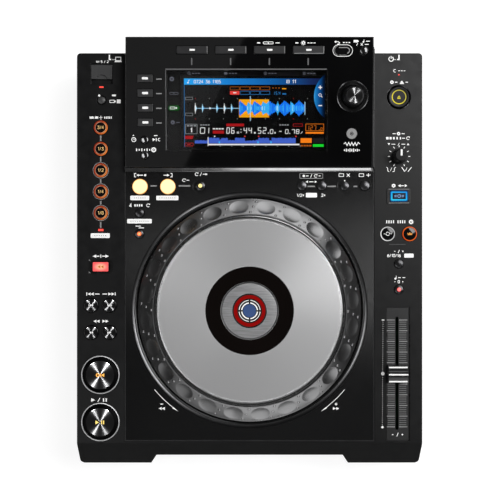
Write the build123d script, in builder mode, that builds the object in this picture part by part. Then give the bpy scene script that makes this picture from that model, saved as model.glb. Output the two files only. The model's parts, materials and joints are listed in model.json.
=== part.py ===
"""Tabletop disc player for DJ use: casing, controls, jog wheel, slot drive and rear jacks.

Millimetres, +Z up, +Y towards the rear, origin at the centre of the footprint on the table.
"""
from build123d import *
import math
import os

os.makedirs("parts", exist_ok=True)

# ---------------------------------------------------------------- driving dimensions (mm)
HALF_W = 153.0            # half of the body's width
Y_FRONT = -189.0          # front corners
Y_LIP = -180.1            # recessed middle of the front
Y_CREASE = -167.06        # where the deck breaks into the front slope
Y_BODY_REAR = 178.2
Y_REAR = 189.0            # rear of the display housing
DECK_Z = 74.0
PANEL_T = 3.0             # deck and strip thickness
WALL = 2.5
SEAM_Z = 24.0             # chassis below, top cover above
FOOT_H = 5.0
FLOOR_T = 2.0
Z_FRONT = DECK_Z - (Y_CREASE - Y_FRONT)     # 45 degree slope down to the front corners

PLATE_HALF_W = 110.2      # deck plate
PLATE_Y0, PLATE_Y1 = -165.0, 83.7
SEAM_GAP = 0.35

JOG_Y = -49.2             # jog axis
JOG_HOLE_R = 100.1
BEZEL_R = 103.9
JOG_R = 98.5
JOG_TOP_IN = 84.0         # inner edge of the dimpled ring
JOG_TOP_Z = 87.0
JOG_EDGE_Z = 78.0
PLATTER_R = 83.0
PLATTER_BORE = 25.0
PLATTER_Z = 88.0
HEAD_R = 24.3             # fixed centre display
POST_R = 19.9
BEARING_GAP = 0.05

DISPLAY_Y0, DISPLAY_Z0 = 76.4, 80.0
DISPLAY_TILT = 6.0
DISPLAY_T = 2.5

KEY_GAP = 0.35            # around each key
FLANGE_T = 1.1
FLANGE_W = 1.2
FLANGE_DROP = 0.3
KEY_TRAVEL = 0.8
BOARD_Z = 60.0
BOARD_T = 1.6

SLOT_Z0, SLOT_Z1 = 37.3, 43.2
SLOT_HALF_W = 64.0

SLIDER_X, SLIDER_Y = 130.6, -105.5
SLIDER_TRAVEL = 47.0

USB_X, USB_HINGE_Y, USB_HINGE_Z = -131.0, 166.9, 72.7

# positions on the deck plane
LEFT_X = -131.7
BEAT_Y = [112.2, 93.3, 74.4, 55.5, 36.6]
BEAT_R = 6.0
SEARCH_R = 6.3
SEARCH = {"track_back_button": (-140.1, -45.1), "track_forward_button": (-123.9, -45.1),
          "search_back_button": (-140.1, -69.2), "search_forward_button": (-123.9, -69.2)}
CUE = (-132.0, -106.6)
PLAY = (-132.0, -148.3)
BIG_R = 15.6
USB_STOP = (-131.1, 136.4, 3.4)
DIRECTION = (-131.7, -11.0, 14.2, 8.6)
EJECT = (132.1, 139.1, 8.9)
VINYL = (132.4, 86.7)
JOG_MODE = (132.1, 51.5, 15.4, 9.2)
SYNC = (122.1, 18.1, 6.4)
MASTER = (141.6, 18.1, 6.4)
TEMPO_RANGE = (132.1, -8.4, 3.9)
MASTER_TEMPO = (132.1, -31.1, 3.9)
LOOP_IN = (-96.9, 59.9, 6.9)
LOOP_OUT = (-72.3, 59.9, 6.9)
RELOOP = (-43.5, 60.4, 4.2)
FOUR_BEAT = (-97.2, 36.6, 3.8)
SLIP = (-97.5, 18.1, 3.8)
CALL_BACK = (46.3, 60.6, 4.1)
CALL_FORWARD = (63.9, 60.6, 4.1)
DELETE = (84.2, 60.4, 3.9)
MEMORY = (101.9, 60.6, 4.2)

# positions on the tilted display face: x and distance up the slope
MENU_X = {"browse_key": -49.9, "tag_list_key": -16.3, "info_key": 17.4, "menu_key": 51.3}
MENU_V = 101.8
MENU_SIZE = (27.0, 6.6)
SOURCE_V = [77.4, 64.7, 52.0, 39.3]
SOURCE_X = -91.2
SOURCE_SIZE = (13.3, 6.7)
BACK = (80.95, 101.3)
TAG = (99.4, 101.4, 3.75)
TIME_MODE = (-91.9, 24.1, 3.4)
QUANTIZE = (-92.0, 10.6, 3.4)
SELECTOR = (89.9, 61.8)
SELECTOR_RING_R = 13.8
SELECTOR_WELL_R = 9.9
SELECTOR_H = 19.2
WINDOW = (-73.4, 67.9, 14.4, 85.5)

TILT = math.radians(DISPLAY_TILT)
DISPLAY_Z1 = DISPLAY_Z0 + (Y_REAR - DISPLAY_Y0) * math.tan(TILT)

DECK = Plane.XY.offset(DECK_Z)
FACE = Plane(origin=(0, DISPLAY_Y0, DISPLAY_Z0), x_dir=(1, 0, 0),
             z_dir=(0, -math.sin(TILT), math.cos(TILT)))
JOG_SECTION = Plane(origin=(0, JOG_Y, 0), x_dir=(1, 0, 0), z_dir=(0, -1, 0))
JOG_AXIS = Axis((0, JOG_Y, 0), (0, 0, 1))


def save(piece, name):
    piece.part.label = name
    export_step(piece.part, f"parts/{name}.step")


def up(plane):
    """Axis along a panel's outward normal, for picking a key's top face."""
    return Axis(plane.origin, plane.z_dir)


# ================================================================ casing
RECESS = [(-83.6, Y_LIP), (83.6, Y_LIP), (92.8, -195.0), (-92.8, -195.0)]
RECESS_IN = [(-85.0, Y_LIP + WALL), (85.0, Y_LIP + WALL), (95.7, -195.0), (-95.7, -195.0)]

# hollow of the top cover
with BuildPart() as cover_hollow:
    with BuildSketch(Plane.YZ.offset(-HALF_W + WALL)):
        with BuildLine():
            Polyline((Y_BODY_REAR - WALL, SEAM_Z - 1), (Y_BODY_REAR - WALL, DECK_Z - PANEL_T),
                     (Y_CREASE + 0.55, DECK_Z - PANEL_T), (Y_FRONT + WALL, Z_FRONT - 1.05),
                     (Y_FRONT + WALL, SEAM_Z - 1), close=True)
        make_face()
    extrude(amount=2 * (HALF_W - WALL))
    with BuildSketch(Plane.XY):
        with BuildLine():
            Polyline(*RECESS_IN, close=True)
        make_face()
    extrude(amount=DECK_Z + 5, mode=Mode.SUBTRACT)

SCREW_XY = [(sx * 147.0, y) for sx in (-1, 1) for y in (166.0, 30.0, -90.0, -181.5)]

with BuildPart() as top_cover:
    with BuildSketch(Plane.YZ.offset(-HALF_W)):
        with BuildLine():
            Polyline((Y_BODY_REAR, SEAM_Z), (Y_BODY_REAR, DECK_Z), (Y_CREASE, DECK_Z),
                     (Y_FRONT, Z_FRONT), (Y_FRONT, SEAM_Z), close=True)
        make_face()
    extrude(amount=2 * HALF_W)
    fillet(top_cover.edges().filter_by(Axis.Z).group_by(Axis.Y)[-1], 3.3)
    fillet(top_cover.edges().filter_by(Axis.Z).group_by(Axis.Y)[0], 4.0)
    with BuildSketch(Plane.XY):
        with BuildLine():
            Polyline(*RECESS, close=True)
        make_face()
    extrude(amount=DECK_Z + 5, mode=Mode.SUBTRACT)
    # softened long top edges of the side strips
    long_edges = [e for e in top_cover.edges().filter_by(Axis.Y)
                  if abs(e.center().Z - DECK_Z) < 0.01 and abs(abs(e.center().X) - HALF_W) < 0.01]
    fillet(long_edges, 1.0)
    add(cover_hollow.part, mode=Mode.SUBTRACT)
    # opening for the deck plate, and the ledge that carries it
    with BuildSketch(Plane.XY.offset(DECK_Z - PANEL_T - 1)):
        with Locations((0, (PLATE_Y0 + PLATE_Y1) / 2)):
            Rectangle(2 * (PLATE_HALF_W + SEAM_GAP), PLATE_Y1 - PLATE_Y0 + 2 * SEAM_GAP)
    extrude(amount=PANEL_T + 3, mode=Mode.SUBTRACT)
    with BuildSketch(Plane.XY.offset(DECK_Z - PANEL_T)):
        with Locations((0, (PLATE_Y0 + PLATE_Y1) / 2)):
            Rectangle(2 * 114.0, PLATE_Y1 - PLATE_Y0 + 5.0)
            Rectangle(2 * 108.2, PLATE_Y1 - PLATE_Y0 - 4.0, mode=Mode.SUBTRACT)
    extrude(amount=-2.5)
    # cable way up into the display housing
    with BuildSketch(Plane.XY.offset(DECK_Z - PANEL_T - 0.5)):
        with Locations((-20, 128)):
            RectangleRounded(60, 16, 2)
    extrude(amount=PANEL_T + 1, mode=Mode.SUBTRACT)
    # sunk pocket of the USB port, with the port hole and the hinge-pin holes
    with BuildSketch(Plane.XY.offset(DECK_Z - PANEL_T)):
        with Locations((USB_X, 159.9)):
            Rectangle(24.0, 23.0)
    extrude(amount=-3.0)
    with BuildSketch(Plane.XY.offset(70.6)):
        with Locations((USB_X, (150.7 + 168.9) / 2)):
            Rectangle(19.2, 168.9 - 150.7)
    extrude(amount=4.0, mode=Mode.SUBTRACT)
    with BuildSketch(Plane.XY.offset(67.0)):
        with Locations((USB_X, 160.4)):
            Rectangle(13.8, 7.0)
    extrude(amount=4.0, mode=Mode.SUBTRACT)
    with BuildSketch(Plane.YZ.offset(USB_X - 11.0)):
        with Locations((USB_HINGE_Y, USB_HINGE_Z)):
            Circle(1.05)
    extrude(amount=22.0, mode=Mode.SUBTRACT)
    # raised rings round the two big keys and frames of the square keys
    with BuildSketch(DECK):
        with Locations(CUE, PLAY):
            Circle(17.4)
        with Locations((JOG_MODE[0], JOG_MODE[1])):
            RectangleRounded(21.0, 13.2, 1.2)
    extrude(amount=0.9)
    rims = [e for e in top_cover.edges().filter_by(GeomType.CIRCLE)
            if abs(e.center().Z - DECK_Z - 0.9) < 0.01 and abs(e.radius - 17.4) < 0.01]
    fillet(rims, 0.4)
    # round key holes
    with BuildSketch(Plane.XY.offset(DECK_Z - PANEL_T - 1)):
        with Locations(CUE, PLAY):
            Circle(BIG_R + KEY_GAP)
        with Locations(*[(LEFT_X, y) for y in BEAT_Y]):
            Circle(BEAT_R + KEY_GAP)
        with Locations(*SEARCH.values()):
            Circle(SEARCH_R + KEY_GAP)
        for x, y, r in (USB_STOP, EJECT, SYNC, MASTER, TEMPO_RANGE, MASTER_TEMPO):
            with Locations((x, y)):
                Circle(r + KEY_GAP)
        with Locations(VINYL):
            Circle(3.1)
        for x, y, w, h in (DIRECTION, JOG_MODE):
            with Locations((x, y)):
                RectangleRounded(w + 2 * KEY_GAP, h + 2 * KEY_GAP, 0.8)
    extrude(amount=PANEL_T + 3, mode=Mode.SUBTRACT)
    # shallow wells round the eject, stop and speed-knob controls
    with BuildSketch(DECK):
        with Locations((EJECT[0], EJECT[1])):
            Circle(10.7)
        with Locations((USB_STOP[0], USB_STOP[1])):
            Circle(4.6)
    extrude(amount=-0.8, mode=Mode.SUBTRACT)
    # sunk bed of the tempo slider and its slot
    with BuildSketch(DECK):
        with Locations((131.6, -106.0)):
            Rectangle(20.8, 118.4)
    extrude(amount=-1.0, mode=Mode.SUBTRACT)
    with BuildSketch(Plane.XY.offset(DECK_Z - PANEL_T - 1)):
        with Locations((SLIDER_X, SLIDER_Y)):
            SlotOverall(99.8, 2.4, rotation=90)
    extrude(amount=PANEL_T + 2, mode=Mode.SUBTRACT)
    # disc slot with a flared mouth, and the forced-eject pin hole
    with BuildSketch(Plane.XZ.offset(-(Y_LIP + WALL + 2))):
        with Locations((0, (SLOT_Z0 + SLOT_Z1) / 2)):
            RectangleRounded(2 * SLOT_HALF_W, SLOT_Z1 - SLOT_Z0, 1.5)
        with Locations((74.0, (SLOT_Z0 + SLOT_Z1) / 2)):
            Circle(0.9)
    extrude(amount=8, mode=Mode.SUBTRACT)
    # cut-out in the rear wall for the jack panel
    with BuildSketch(Plane.XZ.offset(-(Y_BODY_REAR - WALL - 2))):
        with Locations((0, (SEAM_Z - 1 + 66.0) / 2)):
            Rectangle(2 * 140.0, 66.0 - SEAM_Z + 1)
    extrude(amount=-8, mode=Mode.SUBTRACT)
    # screw columns
    with BuildSketch(Plane.XY.offset(7.6)):
        with Locations(*[p for p in SCREW_XY if p[1] > -170]):
            Circle(3.6)
    extrude(amount=DECK_Z - PANEL_T - 7.6 + 0.5)
    with BuildSketch(Plane.XY.offset(7.6)):
        with Locations(*[p for p in SCREW_XY if p[1] < -170]):
            Circle(3.6)
    extrude(amount=45.0)
    with BuildSketch(Plane.XY.offset(7.0)):
        with Locations(*SCREW_XY):
            Circle(1.55)
    extrude(amount=14.0, mode=Mode.SUBTRACT)
save(top_cover, "top_cover")

OUTLINE = [(-HALF_W, Y_BODY_REAR), (HALF_W, Y_BODY_REAR), (HALF_W, Y_FRONT), (89.1, Y_FRONT),
           (83.6, Y_LIP), (-83.6, Y_LIP), (-89.1, Y_FRONT), (-HALF_W, Y_FRONT)]

FEET = [(sx * 124.0, y) for sx in (-1, 1) for y in (148.0, -150.0)]
DRIVE_POSTS = [(sx * 66.0, y) for sx in (-1, 1) for y in (-160.0, -48.0)]
BOARD_POSTS = [(sx * 96.0, y) for sx in (-1, 1) for y in (60.0, 160.0)]

with BuildPart() as bottom_chassis:
    with BuildSketch(Plane.XY.offset(FOOT_H)) as plan:
        with BuildLine():
            Polyline(*OUTLINE, close=True)
        make_face()
        fillet(plan.vertices().group_by(Axis.Y)[-1], 3.3)
        fillet([v for v in plan.vertices().group_by(Axis.Y)[0] if abs(v.X) > 140], 4.0)
    extrude(amount=SEAM_Z - FOOT_H - 0.25)
    with BuildSketch(Plane.XY.offset(FOOT_H + FLOOR_T)):
        with BuildLine():
            Polyline(*OUTLINE, close=True)
        make_face()
        offset(amount=-2.0, kind=Kind.INTERSECTION)
    extrude(amount=SEAM_Z, mode=Mode.SUBTRACT)
    # separate jack plates standing on the rear wall, inside the cover's rear cut-out
    with BuildSketch(Plane.XZ.offset(-(Y_BODY_REAR - 0.2))):
        with Locations((0, (SEAM_Z - 0.2 + 65.6) / 2)):
            Rectangle(2 * 139.6, 65.6 - SEAM_Z + 0.2)
    extrude(amount=1.8)
    # jack holes in the panel
    with BuildSketch(Plane.XZ.offset(-(Y_BODY_REAR - 6))):
        with Locations((98, 42), (80, 42), (60, 42)):
            Circle(5.2)
        with Locations((42, 42)):
            Circle(3.4)
        with Locations((8, 40)):
            Rectangle(16.6, 14.2)
        with Locations((-22, 40)):
            Rectangle(12.8, 11.6)
        with Locations((-108, 42)):
            Rectangle(28.6, 20.6)
        with Locations((125, 42)):
            RectangleRounded(12.8, 8.8, 1.0)
    extrude(amount=-12, mode=Mode.SUBTRACT)
    # rows of air slits in the panel and under the power board
    with BuildSketch(Plane.XZ.offset(-(Y_BODY_REAR - 6))):
        with Locations((-62, 42)):
            with GridLocations(5.0, 1, 9, 1):
                SlotOverall(26, 2.0, rotation=90)
    extrude(amount=-12, mode=Mode.SUBTRACT)
    # joints between the inlet, grille, data and phono plates
    with BuildSketch(Plane.XZ.offset(-(Y_BODY_REAR + 1))):
        with Locations((-89.5, 45.78), (-34.5, 45.78), (27.0, 45.78)):
            Rectangle(0.1, 44.0)
    extrude(amount=4.0, mode=Mode.SUBTRACT)
    with BuildSketch(Plane.XY):
        with Locations((-105, 90)):
            with GridLocations(1, 6.0, 1, 9):
                SlotOverall(44, 2.4)
        with Locations((105, 90)):
            with GridLocations(1, 6.0, 1, 9):
                SlotOverall(44, 2.4)
    extrude(amount=12, mode=Mode.SUBTRACT)
    # posts for the drive and the main board
    with BuildSketch(Plane.XY.offset(FOOT_H + FLOOR_T)):
        with Locations(*DRIVE_POSTS):
            Circle(4.0)
    extrude(amount=24.0 - FOOT_H - FLOOR_T)
    with BuildSketch(Plane.XY.offset(FOOT_H + FLOOR_T)):
        with Locations(*BOARD_POSTS):
            Circle(3.0)
    extrude(amount=4.0)
    # screw holes with sunk seats, foot sockets
    with BuildSketch(Plane.XY):
        with Locations(*SCREW_XY):
            Circle(1.8)
        with Locations(*FEET):
            Circle(2.6)
    extrude(amount=FOOT_H + FLOOR_T + 1, mode=Mode.SUBTRACT)
save(bottom_chassis, "bottom_chassis")

with BuildPart() as rubber_feet:
    for fx, fy in FEET:
        with BuildSketch(Plane.XY):
            with Locations((fx, fy)):
                Circle(11.0)
        extrude(amount=FOOT_H)
        with BuildSketch(Plane.XY.offset(FOOT_H)):
            with Locations((fx, fy)):
                Circle(2.5)
        extrude(amount=FLOOR_T)
    fillet(rubber_feet.faces().filter_by(Axis.Z).group_by(Axis.Z)[0].edges(), 1.2)
save(rubber_feet, "rubber_feet")

with BuildPart() as screws:
    for sx, sy in SCREW_XY:
        with BuildSketch(Plane.XY.offset(FOOT_H - 1.6)):
            with Locations((sx, sy)):
                Circle(3.0)
        extrude(amount=1.6)
        with BuildSketch(Plane.XY.offset(FOOT_H)):
            with Locations((sx, sy)):
                Circle(1.5)
        extrude(amount=12.0)
        with BuildSketch(Plane.XY.offset(FOOT_H - 1.6)):
            with Locations((sx, sy)):
                Rectangle(3.2, 0.8)
                Rectangle(0.8, 3.2)
        extrude(amount=0.8, mode=Mode.SUBTRACT)
save(screws, "screws")

with BuildPart() as deck_plate:
    with BuildSketch(Plane.XY.offset(DECK_Z - PANEL_T)):
        with Locations((0, (PLATE_Y0 + PLATE_Y1) / 2)):
            Rectangle(2 * PLATE_HALF_W, PLATE_Y1 - PLATE_Y0)
    extrude(amount=PANEL_T)
    # crested ring round the jog wheel
    with BuildSketch(JOG_SECTION):
        with BuildLine():
            Polyline((JOG_HOLE_R - 1, DECK_Z - 1), (BEZEL_R, DECK_Z - 1), (BEZEL_R, DECK_Z + 0.5),
                     (BEZEL_R - 1.3, DECK_Z + 1.7), (JOG_HOLE_R + 1.0, DECK_Z + 1.9),
                     (JOG_HOLE_R - 1, DECK_Z + 0.9), close=True)
        make_face()
    revolve(axis=JOG_AXIS, revolution_arc=360)
    with BuildSketch(Plane.XY.offset(DECK_Z - PANEL_T - 1)):
        with Locations((0, JOG_Y)):
            Circle(JOG_HOLE_R)
        for x, y, r in (LOOP_IN, LOOP_OUT, RELOOP, FOUR_BEAT, SLIP, CALL_BACK, CALL_FORWARD,
                        DELETE, MEMORY):
            with Locations((x, y)):
                Circle(r + KEY_GAP)
    extrude(amount=PANEL_T + 5, mode=Mode.SUBTRACT)
    # shallow dished wells round the reloop and delete keys
    with BuildSketch(DECK):
        with Locations((RELOOP[0], RELOOP[1]), (DELETE[0], DELETE[1])):
            Circle(6.6)
    extrude(amount=-0.6, mode=Mode.SUBTRACT)
save(deck_plate, "deck_plate")

# ================================================================ display housing
X0, X1, V0, V1 = WINDOW
WIN_C = ((X0 + X1) / 2, (V0 + V1) / 2)
WIN_W, WIN_H = X1 - X0, V1 - V0

with BuildPart() as display_core:
    with BuildSketch(Plane.YZ.offset(-120)):
        with BuildLine():
            Polyline((73.5 + 4.5, DECK_Z - 1), (73.5 + 4.5, DISPLAY_Z0 - 2.35),
                     (Y_REAR - 2.5, DISPLAY_Z1 - 2.78), (Y_REAR - 2.5, 85.0), (Y_BODY_REAR - 3.5, DECK_Z),
                     (Y_BODY_REAR - 3.5, DECK_Z - 1), close=True)
        make_face()
    extrude(amount=240)
    with BuildSketch(Plane.XZ.offset(-200)):
        with BuildLine():
            Polyline((-107.8, DECK_Z - 2), (107.8, DECK_Z - 2), (105.2, 93.0), (-105.2, 93.0), close=True)
        make_face()
    extrude(amount=140, mode=Mode.INTERSECT)

with BuildPart() as display_housing:
    with BuildSketch(Plane.YZ.offset(-120)):
        with BuildLine():
            Polyline((73.5, DECK_Z), (DISPLAY_Y0, DISPLAY_Z0), (Y_REAR, DISPLAY_Z1), (Y_REAR, 84.0),
                     (Y_BODY_REAR + 0.3, DECK_Z), close=True)
        make_face()
    extrude(amount=240)
    with BuildSketch(Plane.XZ.offset(-200)):
        with BuildLine():
            Polyline((-110.36, DECK_Z - 1), (110.36, DECK_Z - 1), (107.6, 93.0), (-107.6, 93.0), close=True)
        make_face()
    extrude(amount=140, mode=Mode.INTERSECT)
    top_rim = display_housing.faces().sort_by(up(FACE))[-1].edges()
    fillet(top_rim, 0.6)
    add(display_core.part, mode=Mode.SUBTRACT)
    # raised ring of the selector
    with BuildSketch(FACE.offset(-0.5)):
        with Locations(SELECTOR):
            Circle(SELECTOR_RING_R)
    extrude(amount=1.3)
    ring_edges = [e for e in display_housing.edges().filter_by(GeomType.CIRCLE)
                  if abs(e.radius - SELECTOR_RING_R) < 0.01]
    fillet(sorted(ring_edges, key=lambda e: e.center().Z)[-1], 0.5)
    with BuildSketch(FACE.offset(2)):
        with Locations(SELECTOR):
            Circle(SELECTOR_WELL_R)
    extrude(amount=-2.2, mode=Mode.SUBTRACT)
    # seat of the window and the opening behind it
    with BuildSketch(FACE.offset(1)):
        with Locations(WIN_C):
            Rectangle(WIN_W + 0.2, WIN_H + 0.2)
    extrude(amount=-2.6, mode=Mode.SUBTRACT)
    with BuildSketch(FACE.offset(1)):
        with Locations(WIN_C):
            Rectangle(WIN_W - 2.4, WIN_H - 2.4)
    extrude(amount=-7, mode=Mode.SUBTRACT)
    # key holes
    with BuildSketch(FACE.offset(1.5)):
        with Locations(*[(x, MENU_V) for x in MENU_X.values()]):
            RectangleRounded(MENU_SIZE[0] + 2 * KEY_GAP, MENU_SIZE[1] + 2 * KEY_GAP, 0.8)
        with Locations(*[(SOURCE_X, v) for v in SOURCE_V]):
            RectangleRounded(SOURCE_SIZE[0] + 2 * KEY_GAP, SOURCE_SIZE[1] + 2 * KEY_GAP, 0.8)
        with Locations(BACK):
            SlotOverall(13.2 + 2 * KEY_GAP, 6.7 + 2 * KEY_GAP)
        for x, v, r in (TAG, TIME_MODE, QUANTIZE):
            with Locations((x, v)):
                Circle(r + KEY_GAP)
        with Locations(SELECTOR):
            Circle(3.3)
    extrude(amount=-8, mode=Mode.SUBTRACT)
save(display_housing, "display_housing")

with BuildPart() as display_window:
    with BuildSketch(FACE.offset(-1.55)):
        with Locations(WIN_C):
            Rectangle(WIN_W, WIN_H)
    extrude(amount=1.5)
save(display_window, "display_window")

with BuildPart() as lcd_module:
    # metal tray with the lit panel standing up against the window
    with BuildSketch(FACE.offset(-1.75)):
        with Locations((4.5, 47.7)):
            Rectangle(123.6, 59.2)
    extrude(amount=-1.2)
    with BuildSketch(FACE.offset(-2.95)):
        with Locations((4.6, 47.7)):
            Rectangle(130.0, 64.0)
    extrude(amount=-1.8)
save(lcd_module, "lcd_module")

# ================================================================ jog wheel
with BuildPart() as jog_post:
    # dished holder under the deck, hollow post and the fixed display on top of it
    with BuildSketch(JOG_SECTION):
        with BuildLine():
            Polyline((16.0, 54.0), (101.5, 54.0), (101.5, 68.8), (105.5, 68.8), (105.5, 71.0),
                     (99.6, 71.0), (99.6, 56.0), (30.0, 56.0), (30.0, 58.5), (POST_R, 58.5),
                     (POST_R, 82.0), (23.0, 82.0), (HEAD_R, 83.3), (HEAD_R, 87.3),
                     (HEAD_R - 0.5, 87.8), (15.2, 87.8), (14.6, 88.1), (0, 88.1), (0, 84.0),
                     (16.0, 84.0), close=True)
        make_face()
    revolve(axis=JOG_AXIS, revolution_arc=360)
save(jog_post, "jog_post")

with BuildPart() as jog_wheel:
    with BuildSketch(JOG_SECTION):
        with BuildLine():
            Polyline((POST_R + BEARING_GAP, 59.0), (29.0, 59.0), (29.0, 72.0), (94.5, 72.0),
                     (94.5, 62.0), (JOG_R - 0.6, 62.0), (JOG_R, 62.6), (JOG_R, JOG_EDGE_Z - 0.8),
                     (JOG_R - 0.8, JOG_EDGE_Z), (JOG_TOP_IN + 0.8, JOG_TOP_Z), (JOG_TOP_IN, JOG_TOP_Z - 0.6),
                     (JOG_TOP_IN, 75.0), (26.0, 75.0), (26.0, 80.0), (POST_R + BEARING_GAP, 80.0), close=True)
        make_face()
    revolve(axis=JOG_AXIS, revolution_arc=360)
    # finger dimples round the sloping ring
    with Locations(Location((0, JOG_Y, 0))):
        with PolarLocations(91.1, 24, start_angle=-84.0):
            with Locations(Location((0, 0, 101.3))):
                Sphere(20.0, mode=Mode.SUBTRACT)
save(jog_wheel, "jog_wheel")

with BuildPart() as jog_platter:
    with BuildSketch(JOG_SECTION):
        with BuildLine():
            Polyline((PLATTER_BORE, 85.6), (31.0, 85.6), (31.0, 76.2), (34.0, 76.2), (34.0, 85.6),
                     (PLATTER_R - 1.4, 85.6), (PLATTER_R, 86.6), (PLATTER_R, 87.1), (PLATTER_R - 0.9, 87.9),
                     (PLATTER_R - 1.7, 87.9), (PLATTER_R - 2.4, 87.3), (PLATTER_R - 3.1, PLATTER_Z),
                     (PLATTER_BORE + 0.3, PLATTER_Z), (PLATTER_BORE, PLATTER_Z - 0.3), close=True)
        make_face()
    revolve(axis=JOG_AXIS, revolution_arc=360)
save(jog_platter, "jog_platter")


# ================================================================ keys
def round_key(name, plane, x, y, r, rise, panel=PANEL_T, edge=0.4, stem_end=-11.2, dish=0.0):
    """Round key: cap through the panel, retaining flange behind it, plunger to the switch."""
    base = -panel - FLANGE_DROP
    with BuildPart() as key:
        with BuildSketch(plane.offset(base)):
            with Locations((x, y)):
                Circle(r)
        extrude(amount=rise - base)
        fillet(key.faces().sort_by(up(plane))[-1].edges(), edge)
        if dish > 0:
            with BuildSketch(plane.offset(rise)):
                with Locations((x, y)):
                    Circle(r * 0.72)
            extrude(amount=-dish, mode=Mode.SUBTRACT)
        with BuildSketch(plane.offset(base)):
            with Locations((x, y)):
                Circle(r + FLANGE_W)
        extrude(amount=-FLANGE_T)
        with BuildSketch(plane.offset(base - FLANGE_T)):
            with Locations((x, y)):
                Circle(min(1.6, r * 0.5))
        extrude(amount=stem_end - base + FLANGE_T)
    save(key, name)


def square_key(name, plane, x, y, w, h, rise, panel=PANEL_T, corner=0.6, edge=0.4, stem_end=-11.2,
               rounded=False):
    """Oblong key with the same flange and plunger."""
    base = -panel - FLANGE_DROP
    with BuildPart() as key:
        with BuildSketch(plane.offset(base)):
            with Locations((x, y)):
                if rounded:
                    SlotOverall(w, h)
                else:
                    RectangleRounded(w, h, corner)
        extrude(amount=rise - base)
        fillet(key.faces().sort_by(up(plane))[-1].edges(), edge)
        with BuildSketch(plane.offset(base)):
            with Locations((x, y)):
                RectangleRounded(w + 2 * FLANGE_W, h + 2 * FLANGE_W, 0.6)
        extrude(amount=-FLANGE_T)
        with BuildSketch(plane.offset(base - FLANGE_T)):
            with Locations((x, y)):
                Circle(1.6)
        extrude(amount=stem_end - base + FLANGE_T)
    save(key, name)


# left strip
round_key("usb_stop_button", DECK, *USB_STOP, rise=0.6)
for i, by in enumerate(BEAT_Y, start=1):
    round_key(f"beat_button_{i}", DECK, LEFT_X, by, BEAT_R, rise=1.4)
for label, (kx, ky) in SEARCH.items():
    round_key(label, DECK, kx, ky, SEARCH_R, rise=1.5, edge=0.6)
square_key("direction_button", DECK, *DIRECTION, rise=1.8)


def transport_key(name, x, y):
    """Large key: sloping outer band, flat cap in the middle."""
    section = Plane(origin=(x, y, 0), x_dir=(1, 0, 0), z_dir=(0, -1, 0))
    with BuildPart() as key:
        with BuildSketch(section):
            with BuildLine():
                Polyline((0, DECK_Z - 11.2), (2.0, DECK_Z - 11.2), (2.0, DECK_Z - 4.4),
                         (BIG_R + FLANGE_W, DECK_Z - 4.4), (BIG_R + FLANGE_W, DECK_Z - 3.3),
                         (BIG_R, DECK_Z - 3.3), (BIG_R, DECK_Z + 0.9), (BIG_R - 0.5, DECK_Z + 1.4),
                         (13.5, DECK_Z + 2.2), (13.1, DECK_Z + 2.7), (12.6, DECK_Z + 2.9),
                         (0, DECK_Z + 2.9), close=True)
            make_face()
        revolve(axis=Axis((x, y, 0), (0, 0, 1)), revolution_arc=360)
    save(key, name)


transport_key("cue_button", *CUE)
transport_key("play_button", *PLAY)

# deck
round_key("loop_in_button", DECK, *LOOP_IN, rise=1.8, edge=0.6)
round_key("loop_out_button", DECK, *LOOP_OUT, rise=1.8, edge=0.6)
round_key("reloop_button", DECK, *RELOOP, rise=1.4)
round_key("four_beat_button", DECK, *FOUR_BEAT, rise=1.4)
round_key("slip_button", DECK, *SLIP, rise=1.4)
round_key("call_back_button", DECK, *CALL_BACK, rise=1.8, edge=0.6)
round_key("call_forward_button", DECK, *CALL_FORWARD, rise=1.8, edge=0.6)
round_key("delete_button", DECK, *DELETE, rise=0.6)
round_key("memory_button", DECK, *MEMORY, rise=1.8, edge=0.6)

# right strip
round_key("eject_button", DECK, *EJECT, rise=1.5, edge=0.5, dish=0.4)
square_key("jog_mode_button", DECK, *JOG_MODE, rise=1.9)
round_key("sync_button", DECK, *SYNC, rise=1.5, edge=0.5)
round_key("master_button", DECK, *MASTER, rise=1.5, edge=0.5)
round_key("tempo_range_button", DECK, *TEMPO_RANGE, rise=1.4)
round_key("master_tempo_button", DECK, *MASTER_TEMPO, rise=1.4)

# display face
for label, kx in MENU_X.items():
    square_key(label, FACE, kx, MENU_V, *MENU_SIZE, rise=1.5, panel=DISPLAY_T, stem_end=-4.8)
for i, kv in enumerate(SOURCE_V, start=1):
    square_key(f"source_key_{i}", FACE, SOURCE_X, kv, *SOURCE_SIZE, rise=1.3, panel=DISPLAY_T, stem_end=-4.8)
square_key("back_button", FACE, *BACK, 13.2, 6.7, rise=1.0, panel=DISPLAY_T, stem_end=-4.8, rounded=True)
round_key("tag_button", FACE, *TAG, rise=1.0, panel=DISPLAY_T, stem_end=-4.8)
round_key("time_mode_button", FACE, *TIME_MODE, rise=1.0, panel=DISPLAY_T, stem_end=-4.8)
round_key("quantize_button", FACE, *QUANTIZE, rise=1.0, panel=DISPLAY_T, stem_end=-4.8)

# push-and-turn selector: the shaft is pushed, the knob turns on it
with BuildPart() as selector_shaft:
    with BuildSketch(FACE.offset(-4.9)):
        with Locations(SELECTOR):
            Circle(2.9)
    extrude(amount=4.9 + 16.0)
    with BuildSketch(FACE.offset(-DISPLAY_T - FLANGE_DROP)):
        with Locations(SELECTOR):
            Circle(5.0)
    extrude(amount=-FLANGE_T)
save(selector_shaft, "selector_shaft")

FACE_PT = FACE.from_local_coords((SELECTOR[0], SELECTOR[1], 0))
SEL_ORIGIN = (FACE_PT.X, FACE_PT.Y, FACE_PT.Z)
SEL_SECTION = Plane(origin=SEL_ORIGIN, x_dir=(1, 0, 0), z_dir=(0, -math.cos(TILT), -math.sin(TILT)))

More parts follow.
